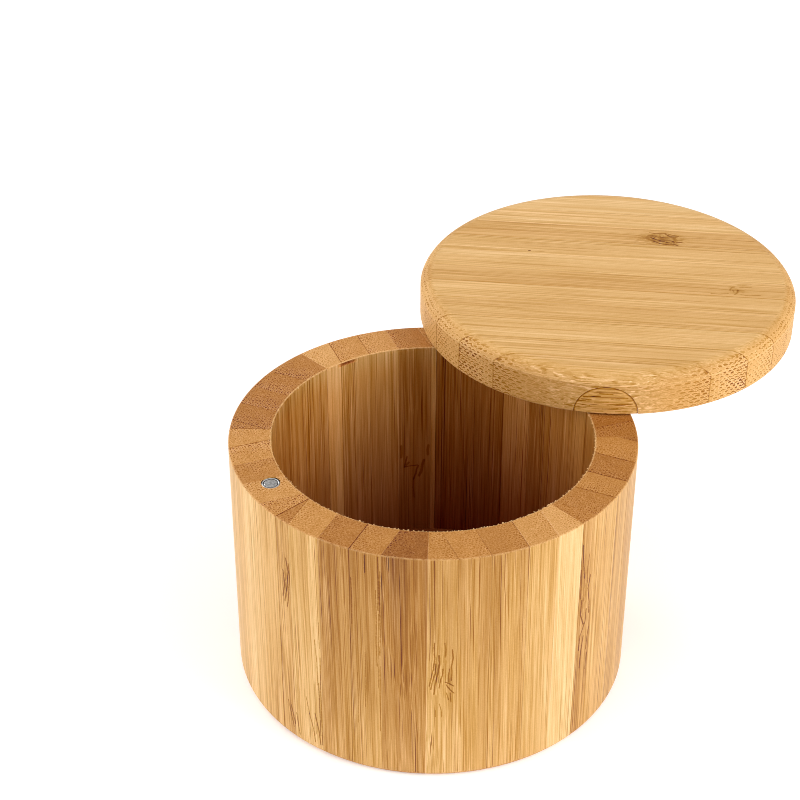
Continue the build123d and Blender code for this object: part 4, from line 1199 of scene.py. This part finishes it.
# ------------------------------------------------------------------ torn fibres round the bore's mouth
def fibres():
    rng = np.random.default_rng(20)
    verts, faces = [], []

    def blade(base, d, length, w, bend, thick=None):
        thick = thick or w
        d = d / np.linalg.norm(d)
        side = np.cross(d, np.array([0.0, 0.0, 1.0]))
        side /= np.linalg.norm(side)
        up = np.cross(side, d)
        n0 = len(verts)
        for f, ww in ((0.0, 1.0), (0.4, 0.85), (0.75, 0.5)):
            c = base + d * length * f + np.array([0, 0, -bend]) * f * f
            for kx, ky in ((-1, -0.4), (1, -0.4), (0, 0.7)):
                pt = c + side * kx * w * ww * 0.5 + up * ky * thick * ww * 0.5
                verts.append((pt[0], pt[1], min(pt[2], H + 0.06)))
        tip = base + d * length + np.array([0, 0, -bend])
        verts.append((tip[0], tip[1], min(tip[2], H + 0.06)))
        for lvl in range(2):
            o0, o1 = n0 + lvl * 3, n0 + lvl * 3 + 3
            for c in range(3):
                c2 = (c + 1) % 3
                faces.append((o0 + c, o0 + c2, o1 + c2, o1 + c))
        o1 = n0 + 6
        for c in range(3):
            faces.append((o1 + c, o1 + (c + 1) % 3, n0 + 9))
        faces.append((n0, n0 + 2, n0 + 1))

    a = -180.0
    while a < 180.0:
        # most along the front and the right, next to none at the left
        dens = 0.04 + 0.96 * (0.5 + 0.5 * cos(radians(a + 68))) ** 1.3
        a += rng.uniform(0.25, 1.7) / dens
        n = int(rng.integers(2, 5))
        big = rng.uniform() < 0.14
        for _ in range(n):
            ar = radians(a + rng.uniform(-0.30, 0.30))
            er, et = np.array([cos(ar), sin(ar), 0]), np.array([-sin(ar), cos(ar), 0])
            base = er * (RI + rng.uniform(0.02, 0.14)) + np.array([0, 0, H - rng.uniform(0.03, 0.15)])
            d = -er * rng.uniform(0.5, 1.0) + et * rng.uniform(-0.8, 0.8) + np.array([0, 0, rng.uniform(-0.55, 0.35)])
            length = rng.uniform(0.10, 0.29) * (1.7 if big else 1.0)
            blade(base, d, length, rng.uniform(0.05, 0.10), rng.uniform(-0.02, 0.10) * length)
        # a flake of torn wood now and then
        if rng.uniform() < 0.5 * dens:
            ar = radians(a)
            er, et = np.array([cos(ar), sin(ar), 0]), np.array([-sin(ar), cos(ar), 0])
            base = er * (RI + 0.10) + np.array([0, 0, H - 0.05])
            d = -er + et * rng.uniform(-0.5, 0.5) + np.array([0, 0, rng.uniform(-0.15, 0.10)])
            blade(base, d, rng.uniform(0.20, 0.46), rng.uniform(0.18, 0.42), rng.uniform(0.0, 0.06), thick=0.06)
    return verts, faces


M_FIBRE = bpy.data.materials.new("torn_fibre")
M_FIBRE.use_nodes = True
g = Net(M_FIBRE.node_tree)
bs = [n for n in M_FIBRE.node_tree.nodes if n.type == "BSDF_PRINCIPLED"][0]
tc = g.node("ShaderNodeTexCoord")
nf, _ = g.noise(g.vm("SCALE", tc.outputs["Object"], scale=1000.0), 1.3, 2.0)
g.put(bs.inputs["Base Color"], g.ramp(nf, [(0.3, lin(204, 150, 90)), (0.7, lin(238, 198, 142))]))
g.put(bs.inputs["Roughness"], g.lerp(nf, 0.3, 0.7, 0.6, 0.8))
verts, faces = fibres()
to_object("bore_edge_fibres", verts, faces, "box", M_FIBRE)

# ------------------------------------------------------------------ floor, light, camera
sc = bpy.context.scene
fm = bpy.data.meshes.new("floor")
fm.from_pydata([(-4, -4, 0), (4, -4, 0), (4, 6, 0), (-4, 6, 0)], [], [(0, 1, 2, 3)])
floor = bpy.data.objects.new("floor", fm)
sc.collection.objects.link(floor)
floor.location.z = -0.00005
FLOOR_GLOW = 0.24
mf = bpy.data.materials.new("floor_white")
mf.use_nodes = True
bf = [n for n in mf.node_tree.nodes if n.type == "BSDF_PRINCIPLED"][0]
bf.inputs["Base Color"].default_value = (0.93, 0.93, 0.93, 1)
bf.inputs["Roughness"].default_value = 0.9
bf.inputs["Specular IOR Level"].default_value = 0.1
bf.inputs["Emission Color"].default_value = (1, 1, 1, 1)
bf.inputs["Emission Strength"].default_value = FLOOR_GLOW
floor.data.materials.append(mf)

world = bpy.data.worlds.new("studio")
sc.world = world
world.use_nodes = True
world.node_tree.nodes["Background"].inputs[0].default_value = (1.0, 1.0, 1.0, 1)
world.node_tree.nodes["Background"].inputs[1].default_value = 0.585


LIGHTS = {                       # place, size across, power in W, colour
    "right": ((0.95, -0.45, 0.62), 0.8, 8.0, (1.0, 0.99, 0.98)),
    "right_front": ((0.75, -0.80, 0.95), 0.6, 1.0, (1.0, 0.99, 0.98)),
    "right_high": ((0.90, -0.15, 1.15), 0.6, 1.0, (1.0, 0.99, 0.98)),
    "left": ((-1.0, -0.25, 0.40), 0.7, 3.45, (1.0, 0.99, 0.98)),
    "left_front": ((-0.75, -0.95, 0.90), 0.9, 2.45, (1.0, 0.99, 0.98)),
    "left_back": ((-0.85, 0.75, 0.60), 0.7, 4.44, (1.0, 1.0, 1.0)),
    "top": ((0.05, 0.15, 1.5), 1.2, 0.5, (1.0, 1.0, 1.0)),
}
for lname, (loc, size, power, colour) in LIGHTS.items():
    ld = bpy.data.lights.new(lname, "AREA")
    ld.shape, ld.size, ld.energy, ld.color = "DISK", size, power, colour
    lo = bpy.data.objects.new(lname, ld)
    sc.collection.objects.link(lo)
    lo.location = loc
    lo.rotation_mode = "QUATERNION"
    lo.rotation_quaternion = (Vector((0, 0, 0.04)) - Vector(loc)).to_track_quat("-Z", "Y")

cd = bpy.data.cameras.new("cam")
cam = bpy.data.objects.new("cam", cd)
sc.collection.objects.link(cam)
fw = Vector((-0.01780389, 0.83466146, -0.5504755))
rt = Vector((0.99977258, 0.02132582, 0.0))
up = rt.cross(fw)
M = Matrix(((rt.x, up.x, -fw.x, 0.0), (rt.y, up.y, -fw.y, -0.3360047), (rt.z, up.z, -fw.z, 0.2892182), (0, 0, 0, 1)))
cam.matrix_world = M
cd.sensor_fit = "HORIZONTAL"
cd.sensor_width = 36.0
cd.lens = 84.2463
cd.clip_start, cd.clip_end = 0.01, 20.0
sc.camera = cam

sc.view_settings.view_transform = "Standard"
sc.view_settings.look = "None"
sc.view_settings.exposure = 0.0
sc.cycles.filter_width = 1.0
sc.cycles.denoising_prefilter = "NONE"

bpy.context.view_layer.update()
